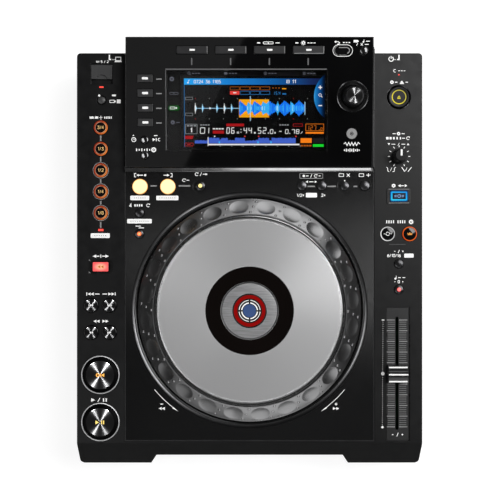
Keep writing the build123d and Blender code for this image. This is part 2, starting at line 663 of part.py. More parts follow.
with BuildPart() as selector_knob:
    with BuildSketch(SEL_SECTION):
        with BuildLine():
            Polyline((2.9 + BEARING_GAP, 1.2), (8.6, 1.2), (9.0, 1.6), (9.0, 3.4), (8.3, 4.2),
                     (7.7, SELECTOR_H - 0.8), (7.0, SELECTOR_H), (0, SELECTOR_H), (0, 17.0),
                     (2.9 + BEARING_GAP, 17.0), close=True)
        make_face()
    revolve(axis=Axis(SEL_ORIGIN, (0, -math.sin(TILT), math.cos(TILT))), revolution_arc=360)
    # grip grooves
    GRIP = Plane(origin=SEL_ORIGIN, x_dir=(1, 0, 0), z_dir=(0, -math.sin(TILT), math.cos(TILT)))
    with BuildSketch(GRIP.offset(5.0)):
        with PolarLocations(8.75, 24):
            Circle(0.62)
    extrude(amount=SELECTOR_H, mode=Mode.SUBTRACT)
save(selector_knob, "selector_knob")

with BuildPart() as vinyl_speed_knob:
    with BuildSketch(Plane(origin=(VINYL[0], VINYL[1], 0), x_dir=(1, 0, 0), z_dir=(0, -1, 0))):
        with BuildLine():
            Polyline((0, 69.0), (4.6, 69.0), (4.6, 70.2), (2.6, 70.2), (2.6, 74.8), (6.6, 74.8),
                     (6.6, 76.2), (6.0, 77.2), (5.4, 88.2), (4.8, 88.9), (0, 88.9), close=True)
        make_face()
    revolve(axis=Axis((VINYL[0], VINYL[1], 0), (0, 0, 1)), revolution_arc=360)
    with BuildSketch(Plane.XY.offset(78.0)):
        with Locations(VINYL):
            with PolarLocations(6.25, 20, start_angle=9):
                Circle(0.5)
    extrude(amount=12.0, mode=Mode.SUBTRACT)
save(vinyl_speed_knob, "vinyl_speed_knob")

with BuildPart() as tempo_slider:
    # blade through the slot, carriage lug below, ribbed cap above
    with BuildSketch(Plane.XY.offset(65.0)):
        with Locations((SLIDER_X, SLIDER_Y)):
            Rectangle(1.6, 5.0)
    extrude(amount=76.0 - 65.0)
    with BuildSketch(Plane.YZ.offset(SLIDER_X - 8.4)):
        with BuildLine():
            Polyline((SLIDER_Y - 7.9, 74.4), (SLIDER_Y + 7.9, 74.4), (SLIDER_Y + 7.4, 81.2),
                     (SLIDER_Y + 6.0, 82.0), (SLIDER_Y + 2.8, 80.6), (SLIDER_Y + 2.0, 80.8),
                     (SLIDER_Y + 1.0, 83.4), (SLIDER_Y - 1.0, 83.4), (SLIDER_Y - 2.0, 80.8),
                     (SLIDER_Y - 2.8, 80.6), (SLIDER_Y - 6.0, 82.0), (SLIDER_Y - 7.4, 81.2), close=True)
        make_face()
    extrude(amount=16.8)
save(tempo_slider, "tempo_slider")

with BuildPart() as usb_cover:
    with BuildSketch(Plane.XY.offset(72.0)):
        with Locations((USB_X, (155.3 + USB_HINGE_Y) / 2)):
            Rectangle(18.4, USB_HINGE_Y - 155.3)
    extrude(amount=2.0)
    with BuildSketch(Plane.YZ.offset(USB_X - 9.2)):
        with Locations((USB_HINGE_Y, USB_HINGE_Z)):
            Circle(1.3)
    extrude(amount=18.4)
    with BuildSketch(Plane.YZ.offset(USB_X - 10.6)):
        with Locations((USB_HINGE_Y, USB_HINGE_Z)):
            Circle(1.0)
    extrude(amount=21.2)
    # finger notch at the free edge
    with BuildSketch(Plane.XY.offset(74.0)):
        with Locations((USB_X, 153.95)):
            Circle(5.25)
    extrude(amount=-1.1, mode=Mode.SUBTRACT)
save(usb_cover, "usb_cover")

# rear power key, pushed in along -Y
with BuildPart() as power_button:
    with BuildSketch(Plane.XZ.offset(-(Y_BODY_REAR + 4.0))):
        with Locations((125, 42)):
            RectangleRounded(12.0, 8.0, 1.0)
    extrude(amount=4.0 + 2.2)
    fillet(power_button.faces().sort_by(Axis.Y)[-1].edges(), 0.6)
    with BuildSketch(Plane.XZ.offset(-(Y_BODY_REAR - 2.2))):
        with Locations((125, 42)):
            Rectangle(15.0, 11.0)
    extrude(amount=1.4)
    with BuildSketch(Plane.XZ.offset(-(Y_BODY_REAR - 3.6))):
        with Locations((125, 42)):
            Circle(2.0)
    extrude(amount=6.0)
save(power_button, "power_button")

# ================================================================ disc drive
DRIVE_Y0, DRIVE_Y1 = -176.6, -30.0
DISC_Y = -104.0
with BuildPart() as disc_drive:
    with BuildSketch(Plane.XY.offset(33.0)):
        with Locations((0, (DRIVE_Y0 + DRIVE_Y1) / 2)):
            Rectangle(150.0, DRIVE_Y1 - DRIVE_Y0)
    extrude(amount=12.5)
    # disc space, open to the front
    with BuildSketch(Plane.XY.offset(35.0)):
        with Locations((0, (DRIVE_Y0 - 2 + DRIVE_Y1 - 6) / 2)):
            Rectangle(2 * SLOT_HALF_W + 4, DRIVE_Y1 - 6 - DRIVE_Y0 + 2)
    extrude(amount=8.6, mode=Mode.SUBTRACT)
    # legs and spindle motor
    with BuildSketch(Plane.XY.offset(24.0)):
        with Locations(*DRIVE_POSTS):
            Circle(5.0)
        with Locations((0, DISC_Y)):
            Circle(12.0)
    extrude(amount=9.0)
    with BuildSketch(Plane.XY.offset(26.0)):
        with Locations((0, DISC_Y)):
            Circle(2.0 + BEARING_GAP)
    extrude(amount=10.0, mode=Mode.SUBTRACT)
    # window for the pickup sled
    with BuildSketch(Plane.XY.offset(32.0)):
        with Locations((0, DISC_Y - 36)):
            Rectangle(22.0, 38.0)
    extrude(amount=4.0, mode=Mode.SUBTRACT)
save(disc_drive, "disc_drive")

with BuildPart() as disc_hub:
    with BuildSketch(Plane(origin=(0, DISC_Y, 0), x_dir=(1, 0, 0), z_dir=(0, -1, 0))):
        with BuildLine():
            Polyline((0, 26.6), (2.0, 26.6), (2.0, 35.4), (13.0, 35.4), (13.0, 37.0), (7.4, 37.2),
                     (7.0, 38.2), (0, 38.2), close=True)
        make_face()
    revolve(axis=Axis((0, DISC_Y, 0), (0, 0, 1)), revolution_arc=360)
save(disc_hub, "disc_hub")

# ================================================================ boards, sockets and jacks
REAR = Plane.XZ
with BuildPart() as circuit_boards:
    # main board with chips, cut clear of the mains inlet
    with BuildSketch(Plane.XY.offset(11.0)):
        with Locations((20.0, 92.0)):
            Rectangle(200.0, 150.0)
    extrude(amount=BOARD_T)
    with BuildSketch(Plane.XY.offset(12.6)):
        with Locations((-10.0, 80.0)):
            Rectangle(30.0, 30.0)
        with Locations((40.0, 110.0), (40.0, 60.0)):
            Rectangle(20.0, 14.0)
    extrude(amount=2.4)
    # power board with transformer and heat sink
    with BuildSketch(Plane.XY.offset(11.0)):
        with Locations((-112.0, 92.0)):
            Rectangle(56.0, 130.0)
    extrude(amount=BOARD_T)
    with BuildSketch(Plane.XY.offset(12.6)):
        with Locations((-112.0, 110.0)):
            Rectangle(34.0, 34.0)
    extrude(amount=28.0)
    # key boards under the side strips and the deck
    with BuildSketch(Plane.XY.offset(BOARD_Z)):
        with Locations((-129.0, -10.0)):
            Rectangle(28.0, 312.0)
        with Locations((129.0, 54.0)):
            Rectangle(28.0, 196.0)
        with Locations((0.0, 62.5)):
            Rectangle(214.0, 16.0)
        with Locations((-97.2, 32.0)):
            Rectangle(18.0, 46.0)
    extrude(amount=BOARD_T)
    # slide and turn potentiometers
    with BuildSketch(Plane.XY.offset(56.0)):
        with Locations((SLIDER_X, SLIDER_Y)):
            Rectangle(11.0, 108.0)
    extrude(amount=8.0)
    with BuildSketch(Plane.XY.offset(61.6)):
        with Locations(VINYL):
            Circle(5.5)
    extrude(amount=6.6)
    # display key board, U-shaped round the display
    with BuildSketch(FACE.offset(-5.9)):
        with Locations((-91.5, 58.0)):
            Rectangle(25.0, 98.0)
        with Locations((12.5, 101.0)):
            Rectangle(184.0, 12.0)
        with Locations((90.0, 72.0)):
            Rectangle(28.0, 50.0)
    extrude(amount=-1.0)
    # upright USB socket under the hinged cover
    with BuildSketch(Plane.XY.offset(56.0)):
        with Locations((USB_X, 160.4)):
            Rectangle(15.2, 8.4)
    extrude(amount=11.9)
    with BuildSketch(Plane.XY.offset(58.0)):
        with Locations((USB_X, 160.4)):
            Rectangle(13.2, 6.4)
    extrude(amount=12.0, mode=Mode.SUBTRACT)
    with BuildSketch(Plane.XY.offset(58.0)):
        with Locations((USB_X, 160.4 + 3.2 - 0.85)):
            Rectangle(11.4, 1.7)
    extrude(amount=8.6)
    # phono jacks: flange inside the panel, barrel outside
    for jx in (98.0, 80.0, 60.0):
        with BuildSketch(REAR.offset(-(Y_BODY_REAR - 2.2))):
            with Locations((jx, 42)):
                Rectangle(13.0, 13.0)
        extrude(amount=12.0)
        with BuildSketch(REAR.offset(-(Y_BODY_REAR - 2.2))):
            with Locations((jx, 42)):
                Circle(5.0)
        extrude(amount=-3.0)
        with BuildSketch(REAR.offset(-(Y_BODY_REAR + 0.8))):
            with Locations((jx, 42)):
                Circle(4.15)
        extrude(amount=-8.8)
        with BuildSketch(REAR.offset(-(Y_BODY_REAR + 12))):
            with Locations((jx, 42)):
                Circle(1.7)
        extrude(amount=12.0, mode=Mode.SUBTRACT)
    # small control jack
    with BuildSketch(REAR.offset(-(Y_BODY_REAR - 2.2))):
        with Locations((42.0, 42)):
            Rectangle(9.0, 9.0)
    extrude(amount=12.0)
    with BuildSketch(REAR.offset(-(Y_BODY_REAR - 2.2))):
        with Locations((42.0, 42)):
            Circle(3.1)
    extrude(amount=-3.2)
    with BuildSketch(REAR.offset(-(Y_BODY_REAR + 3))):
        with Locations((42.0, 42)):
            Circle(1.8)
    extrude(amount=14.0, mode=Mode.SUBTRACT)
    # network socket
    with BuildSketch(REAR.offset(-(Y_BODY_REAR + 0.4))):
        with Locations((8.0, 40)):
            Rectangle(16.0, 13.6)
    extrude(amount=18.0)
    with BuildSketch(REAR.offset(-(Y_BODY_REAR + 2))):
        with Locations((8.0, 40)):
            Rectangle(11.8, 8.0)
    extrude(amount=15.0, mode=Mode.SUBTRACT)
    # square USB socket
    with BuildSketch(REAR.offset(-(Y_BODY_REAR + 0.4))):
        with Locations((-22.0, 40)):
            Rectangle(12.0, 10.8)
    extrude(amount=16.0)
    with BuildSketch(REAR.offset(-(Y_BODY_REAR + 2))):
        with Locations((-22.0, 40)):
            Rectangle(8.6, 7.8)
            Rectangle(5.6, 3.0, mode=Mode.SUBTRACT)
    extrude(amount=12.0, mode=Mode.SUBTRACT)
    with BuildSketch(REAR.offset(-(Y_BODY_REAR + 2))):
        with Locations((-22.0, 40)):
            Rectangle(8.6, 7.8)
    extrude(amount=2.6, mode=Mode.SUBTRACT)
    # mains inlet
    with BuildSketch(REAR.offset(-(Y_BODY_REAR + 1.2))):
        with Locations((-108.0, 42)):
            Rectangle(28.0, 20.0)
    extrude(amount=22.0)
    with BuildSketch(REAR.offset(-(Y_BODY_REAR + 2))):
        with Locations((-108.0, 42)):
            RectangleRounded(24.4, 16.2, 2.0)
    extrude(amount=17.0, mode=Mode.SUBTRACT)
    with BuildSketch(REAR.offset(-(Y_BODY_REAR - 16))):
        with Locations((-115.0, 40), (-101.0, 40), (-108.0, 44)):
            Rectangle(2.0, 4.0)
    extrude(amount=-11.0)
save(circuit_boards, "circuit_boards")

print("files:", len(os.listdir("parts")))
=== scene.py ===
"""Visual model of the tabletop disc player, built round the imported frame. Metres, +Z up, +Y towards the rear."""

import json
import math
import random

import bmesh
import bpy
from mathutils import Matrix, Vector

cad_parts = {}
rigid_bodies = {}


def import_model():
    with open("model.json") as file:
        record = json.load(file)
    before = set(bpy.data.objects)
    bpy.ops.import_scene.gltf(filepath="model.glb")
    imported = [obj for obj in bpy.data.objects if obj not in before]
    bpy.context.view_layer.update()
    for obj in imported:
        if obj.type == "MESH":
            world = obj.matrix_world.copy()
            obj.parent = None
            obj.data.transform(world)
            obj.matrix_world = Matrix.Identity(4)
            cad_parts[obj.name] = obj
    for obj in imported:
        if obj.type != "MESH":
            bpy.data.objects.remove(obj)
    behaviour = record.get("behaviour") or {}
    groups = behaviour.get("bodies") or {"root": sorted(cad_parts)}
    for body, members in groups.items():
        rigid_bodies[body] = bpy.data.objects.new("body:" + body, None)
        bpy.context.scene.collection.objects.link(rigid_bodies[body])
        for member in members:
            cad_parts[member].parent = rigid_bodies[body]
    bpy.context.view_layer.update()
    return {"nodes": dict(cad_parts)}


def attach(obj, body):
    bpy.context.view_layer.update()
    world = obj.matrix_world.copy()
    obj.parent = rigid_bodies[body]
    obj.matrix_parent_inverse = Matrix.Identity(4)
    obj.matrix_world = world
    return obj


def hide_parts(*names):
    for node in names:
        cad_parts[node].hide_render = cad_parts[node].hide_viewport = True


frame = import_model()
NODES = frame["nodes"]
MM = 0.001
random.seed(11)

scene = bpy.context.scene
scene.view_settings.view_transform = "Standard"
scene.view_settings.look = "None"

# ---------------------------------------------------------------- dimensions shared with the frame (mm)
DECK_Z = 74.0
TILT = math.radians(6.0)
FACE_O = (0.0, 76.4, 80.0)
FACE_V = (0.0, math.cos(TILT), math.sin(TILT))
FACE_N = (0.0, -math.sin(TILT), math.cos(TILT))
JOG = (0.0, -49.2)
LEFT_X = -131.7
BEAT_Y = [112.2, 93.3, 74.4, 55.5, 36.6]
SEARCH = {"track_back_button": (-140.1, -45.1), "track_forward_button": (-123.9, -45.1),
          "search_back_button": (-140.1, -69.2), "search_forward_button": (-123.9, -69.2)}
CUE, PLAY = (-132.0, -106.6), (-132.0, -148.3)
EJECT, VINYL = (132.1, 139.1), (132.4, 86.7)
JOG_MODE = (132.1, 51.5)
SYNC, MASTER = (122.1, 18.1), (141.6, 18.1)
TEMPO_RANGE, MASTER_TEMPO = (132.1, -8.4), (132.1, -31.1)
LOOP_IN, LOOP_OUT, RELOOP = (-96.9, 59.9), (-72.3, 59.9), (-43.5, 60.4)
FOUR_BEAT, SLIP = (-97.2, 36.6), (-97.5, 18.1)
CALL_BACK, CALL_FORWARD = (46.3, 60.6), (63.9, 60.6)
DELETE, MEMORY = (84.2, 60.4), (101.9, 60.6)
USB_STOP = (-131.1, 136.4)
SLIDER = (130.6, -105.5)
SELECTOR = (89.9, 61.8)
MENU_X = {"browse_key": -49.9, "tag_list_key": -16.3, "info_key": 17.4, "menu_key": 51.3}
MENU_V = 101.8
SOURCE_X, SOURCE_V = -91.2, [77.4, 64.7, 52.0, 39.3]

# ---------------------------------------------------------------- camera: straight down, 500 x 500 frame
CAM = (0.354, 3.82, 974.0)
camera_data = bpy.data.cameras.new("camera")
camera_data.lens = 73.19
camera_data.sensor_width = 36.0
camera_data.clip_start, camera_data.clip_end = 0.01, 50.0
camera = bpy.data.objects.new("camera", camera_data)
camera.location = tuple(c * MM for c in CAM)
scene.collection.objects.link(camera)
scene.camera = camera


def seen_at(px, py, origin, normal):
    """Point (mm) of a plane that the camera sees at a place in the 500 x 500 frame."""
    on_deck = Vector(((px - 249.6) * 0.8854, (250.0 - py) * 0.8854 + 3.82, 74.0))
    cam = Vector(CAM)
    ray = on_deck - cam
    t = (Vector(origin) - cam).dot(Vector(normal)) / ray.dot(Vector(normal))
    return cam + ray * t


def deck_at(px, py, z=DECK_Z):
    p = seen_at(px, py, (0, 0, z), (0, 0, 1))
    return (p.x, p.y)


def face_at(px, py, w=0.0):
    o = Vector(FACE_O) + Vector(FACE_N) * w
    p = seen_at(px, py, o, FACE_N) - o
    return (p.x, p.dot(Vector(FACE_V)))


# ---------------------------------------------------------------- planes: (u, v, w) in mm to metres
def level(z):
    return lambda u, v, w: (u * MM, v * MM, (z + w) * MM)


DECK = level(DECK_Z)


def FACE(u, v, w):
    return (u * MM, (FACE_O[1] + v * FACE_V[1] + w * FACE_N[1]) * MM,
            (FACE_O[2] + v * FACE_V[2] + w * FACE_N[2]) * MM)


def REAR(u, v, w):
    return (u * MM, (178.2 + w) * MM, v * MM)


# ---------------------------------------------------------------- materials
class Nodes:
    """Short way to write a node tree."""

    def __init__(self, name):
        self.m = bpy.data.materials.new(name)
        self.m.use_nodes = True
        self.t = self.m.node_tree
        self.p = self.t.nodes["Principled BSDF"]

    def add(self, kind, **inputs):
        n = self.t.nodes.new(kind)
        for k, v in inputs.items():
            key = k.replace("_", " ")
            if key in n.inputs:
                n.inputs[key].default_value = v
            else:
                setattr(n, k, v)
        return n

    def link(self, a, b):
        self.t.links.new(a, b)

    def coords(self, kind="Object"):
        return self.add("ShaderNodeTexCoord").outputs[kind]

    def noise(self, vec, scale, detail=3.0, rough=0.55, stretch=None):
        if stretch:
            mp = self.add("ShaderNodeMapping")
            mp.inputs["Scale"].default_value = stretch
            self.link(vec, mp.inputs["Vector"])
            vec = mp.outputs["Vector"]
        n = self.add("ShaderNodeTexNoise", Scale=scale, Detail=detail, Roughness=rough)
        self.link(vec, n.inputs["Vector"])
        return n.outputs["Fac"]

    def ramp(self, fac, stops, interpolation="LINEAR"):
        r = self.add("ShaderNodeValToRGB")
        r.color_ramp.interpolation = interpolation
        el = r.color_ramp.elements
        while len(el) > 1:
            el.remove(el[-1])
        el[0].position, el[0].color = stops[0][0], (*stops[0][1], 1)
        for pos, col in stops[1:]:
            e = el.new(pos)
            e.color = (*col, 1)
        self.link(fac, r.inputs["Fac"])
        return r.outputs["Color"]

    def span(self, fac, lo, hi, a=0.3, b=0.7):
        r = self.add("ShaderNodeMapRange")
        for i, v in enumerate((a, b, lo, hi)):
            r.inputs[i + 1].default_value = v
        self.link(fac, r.inputs[0])
        return r.outputs[0]

    def bump(self, height, strength, distance, soft_edge=0.0):
        b = self.add("ShaderNodeBump", Strength=strength, Distance=distance)
        self.link(height, b.inputs["Height"])
        if soft_edge:
            e = self.add("ShaderNodeBevel", Radius=soft_edge, samples=6)
            self.link(e.outputs["Normal"], b.inputs["Normal"])
        self.link(b.outputs["Normal"], self.p.inputs["Normal"])

    def rubbed(self, vec, reach, amount):
        """Patchy mask along the piece's edges, where handling rubs the surface."""
        edge = self.add("ShaderNodeBevel", Radius=reach, samples=4)
        geo = self.add("ShaderNodeNewGeometry")
        dot = self.add("ShaderNodeVectorMath", operation="DOT_PRODUCT")
        self.link(edge.outputs["Normal"], dot.inputs[0])
        self.link(geo.outputs["Normal"], dot.inputs[1])
        near = self.span(dot.outputs["Value"], amount, 0.0, 0.78, 0.995)
        patches = self.span(self.noise(vec, 850.0, 4.0, 0.7), 0.0, 1.0, 0.40, 0.62)
        both = self.add("ShaderNodeMath", operation="MULTIPLY")
        self.link(near, both.inputs[0])
        self.link(patches, both.inputs[1])
        return both.outputs[0]

    def radius(self):
        """0 in the middle of the piece's own box, 1 at the edge, looking along its Z."""
        sep = self.add("ShaderNodeSeparateXYZ")
        self.link(self.coords("Generated"), sep.inputs[0])
        comb = self.add("ShaderNodeCombineXYZ")
        for i in (0, 1):
            m = self.add("ShaderNodeMath", operation="MULTIPLY_ADD")
            m.inputs[1].default_value, m.inputs[2].default_value = 2.0, -1.0
            self.link(sep.outputs[i], m.inputs[0])
            self.link(m.outputs[0], comb.inputs[i])
        ln = self.add("ShaderNodeVectorMath", operation="LENGTH")
        self.link(comb.outputs[0], ln.inputs[0])
        return ln.outputs["Value"]


def shade(c, k):
    return tuple(min(1.0, x * k) for x in c)


def plastic(name, color, rough, vary=0.12, grain=0.0, grain_scale=1500.0, metallic=0.0, soft_edge=0.0,
            spec=0.5, coat=0.0, coat_rough=0.05, rough_vary=0.05, scale=18.0, ior=None, glow=0.0, wear=0.5):
    """Moulded or painted surface: slow mottling of colour and gloss, fine mould grain, edges rubbed paler and duller."""
    n = Nodes(name)
    vec = n.coords()
    slow = n.noise(vec, scale, 4.0)
    tint = n.ramp(slow, [(0.3, shade(color, 1 - vary)), (0.7, shade(color, 1 + vary))])
    mid = n.noise(vec, scale * 6.0, 3.0)
    gloss = n.span(mid, rough - rough_vary, rough + rough_vary)
    if wear:
        rubbed = n.rubbed(vec, max(soft_edge, 0.00025), wear)
        blend = n.add("ShaderNodeMix", data_type="RGBA")
        n.link(rubbed, blend.inputs[0])
        n.link(tint, blend.inputs[6])
        blend.inputs[7].default_value = (*(min(1.0, c * 1.35 + 0.010) for c in color), 1)
        tint = blend.outputs[2]
        dull = n.add("ShaderNodeMath", operation="MULTIPLY_ADD")
        dull.inputs[1].default_value = 0.12
        n.link(rubbed, dull.inputs[0])
        n.link(gloss, dull.inputs[2])
        gloss = dull.outputs[0]
    n.link(tint, n.p.inputs["Base Color"])
    n.link(gloss, n.p.inputs["Roughness"])
    n.p.inputs["Metallic"].default_value = metallic
    n.p.inputs["Specular IOR Level"].default_value = spec
    n.p.inputs["Coat Weight"].default_value = coat
    n.p.inputs["Coat Roughness"].default_value = coat_rough
    if ior:
        n.p.inputs["IOR"].default_value = ior
    # painted glow: the surface gives off light of its own though it is no lamp
    if glow:
        n.p.inputs["Emission Color"].default_value = (1.0, 1.0, 0.99, 1)
        n.p.inputs["Emission Strength"].default_value = glow
    if grain or soft_edge:
        fine = n.noise(vec, grain_scale, 2.0)
        n.bump(fine, max(grain, 0.001), 0.00005, soft_edge)
    return n.m


def turned(name, color, rough, aniso, metallic=1.0, vary=0.1, rings=900.0, coat=0.0, rotation=0.25, rough_vary=0.03):
    """Metal turned on a lathe: fine rings about the piece's Z axis and a fan-shaped gloss."""
    n = Nodes(name)
    r = n.radius()
    comb = n.add("ShaderNodeCombineXYZ")
    n.link(r, comb.inputs[0])
    fine = n.noise(comb.outputs[0], rings, 2.0)
    n.link(n.ramp(fine, [(0.3, shade(color, 1 - vary)), (0.7, shade(color, 1 + vary))]), n.p.inputs["Base Color"])
    n.link(n.span(fine, rough - rough_vary, rough + rough_vary), n.p.inputs["Roughness"])
    n.p.inputs["Metallic"].default_value = metallic
    n.p.inputs["Anisotropic"].default_value = aniso
    n.p.inputs["Anisotropic Rotation"].default_value = rotation
    n.p.inputs["Coat Weight"].default_value = coat
    tan = n.add("ShaderNodeTangent")
    tan.direction_type, tan.axis = "RADIAL", "Z"
    n.link(tan.outputs[0], n.p.inputs["Tangent"])
    return n.m


def lit(name, color, strength, rim=None, rim_from=0.75, base=None, vary=0.06, body_rough=0.35):
    """Translucent cap lit from below: glow varies a little, and from the middle to the rim."""
    n = Nodes(name)
    n.p.inputs["Base Color"].default_value = (*(base or shade(color, 0.35)), 1)
    n.p.inputs["Roughness"].default_value = body_rough
    n.p.inputs["Emission Strength"].default_value = strength
    noise = n.noise(n.coords(), 400.0, 2.0)
    if rim:
        r = n.radius()
        mix = n.add("ShaderNodeMath", operation="MULTIPLY_ADD")
        mix.inputs[1].default_value = 0.06
        n.link(noise, mix.inputs[0])
        n.link(r, mix.inputs[2])
        col = n.ramp(mix.outputs[0], [(0.0, color), (rim_from, color), (min(0.99, rim_from + 0.12), rim), (1.0, shade(rim, 0.6))])
    else:
        col = n.ramp(noise, [(0.3, shade(color, 1 - vary)), (0.7, shade(color, 1 + vary))])
    n.link(col, n.p.inputs["Emission Color"])
    return n.m


def glow_with_painted_sheen(name, stops, strength, axis=(1.0, -0.6), base=(0.12, 0.02, 0.005)):
    """Lit ring whose colour runs across it from one side to the other: painted highlight on one side, painted shade on
    the other.
    """
    n = Nodes(name)
    sep = n.add("ShaderNodeSeparateXYZ")
    n.link(n.coords("Generated"), sep.inputs[0])
    a = n.add("ShaderNodeMath", operation="MULTIPLY")
    a.inputs[1].default_value = axis[0]
    n.link(sep.outputs[0], a.inputs[0])
    b = n.add("ShaderNodeMath", operation="MULTIPLY_ADD")
    b.inputs[1].default_value = axis[1]
    n.link(sep.outputs[1], b.inputs[0])
    n.link(a.outputs[0], b.inputs[2])
    lo = min(0, axis[0]) + min(0, axis[1])
    hi = max(0, axis[0]) + max(0, axis[1])
    fac = n.span(b.outputs[0], 0.0, 1.0, lo, hi)
    n.link(n.ramp(fac, stops), n.p.inputs["Emission Color"])
    n.p.inputs["Base Color"].default_value = (*base, 1)
    n.p.inputs["Roughness"].default_value = 0.3
    n.p.inputs["Specular IOR Level"].default_value = 0.2
    n.p.inputs["Emission Strength"].default_value = strength
    return n.m


def streaked(name, color, rough):
    """Grey plate with fine level streaks."""
    n = Nodes(name)
    fine = n.noise(n.coords(), 1.0, 2.0, stretch=(60.0, 1900.0, 60.0))
    n.link(n.ramp(fine, [(0.35, shade(color, 0.72)), (0.65, shade(color, 1.22))]), n.p.inputs["Base Color"])
    n.link(n.span(fine, rough - 0.05, rough + 0.05), n.p.inputs["Roughness"])
    n.bump(fine, 0.15, 0.00005)
    return n.m


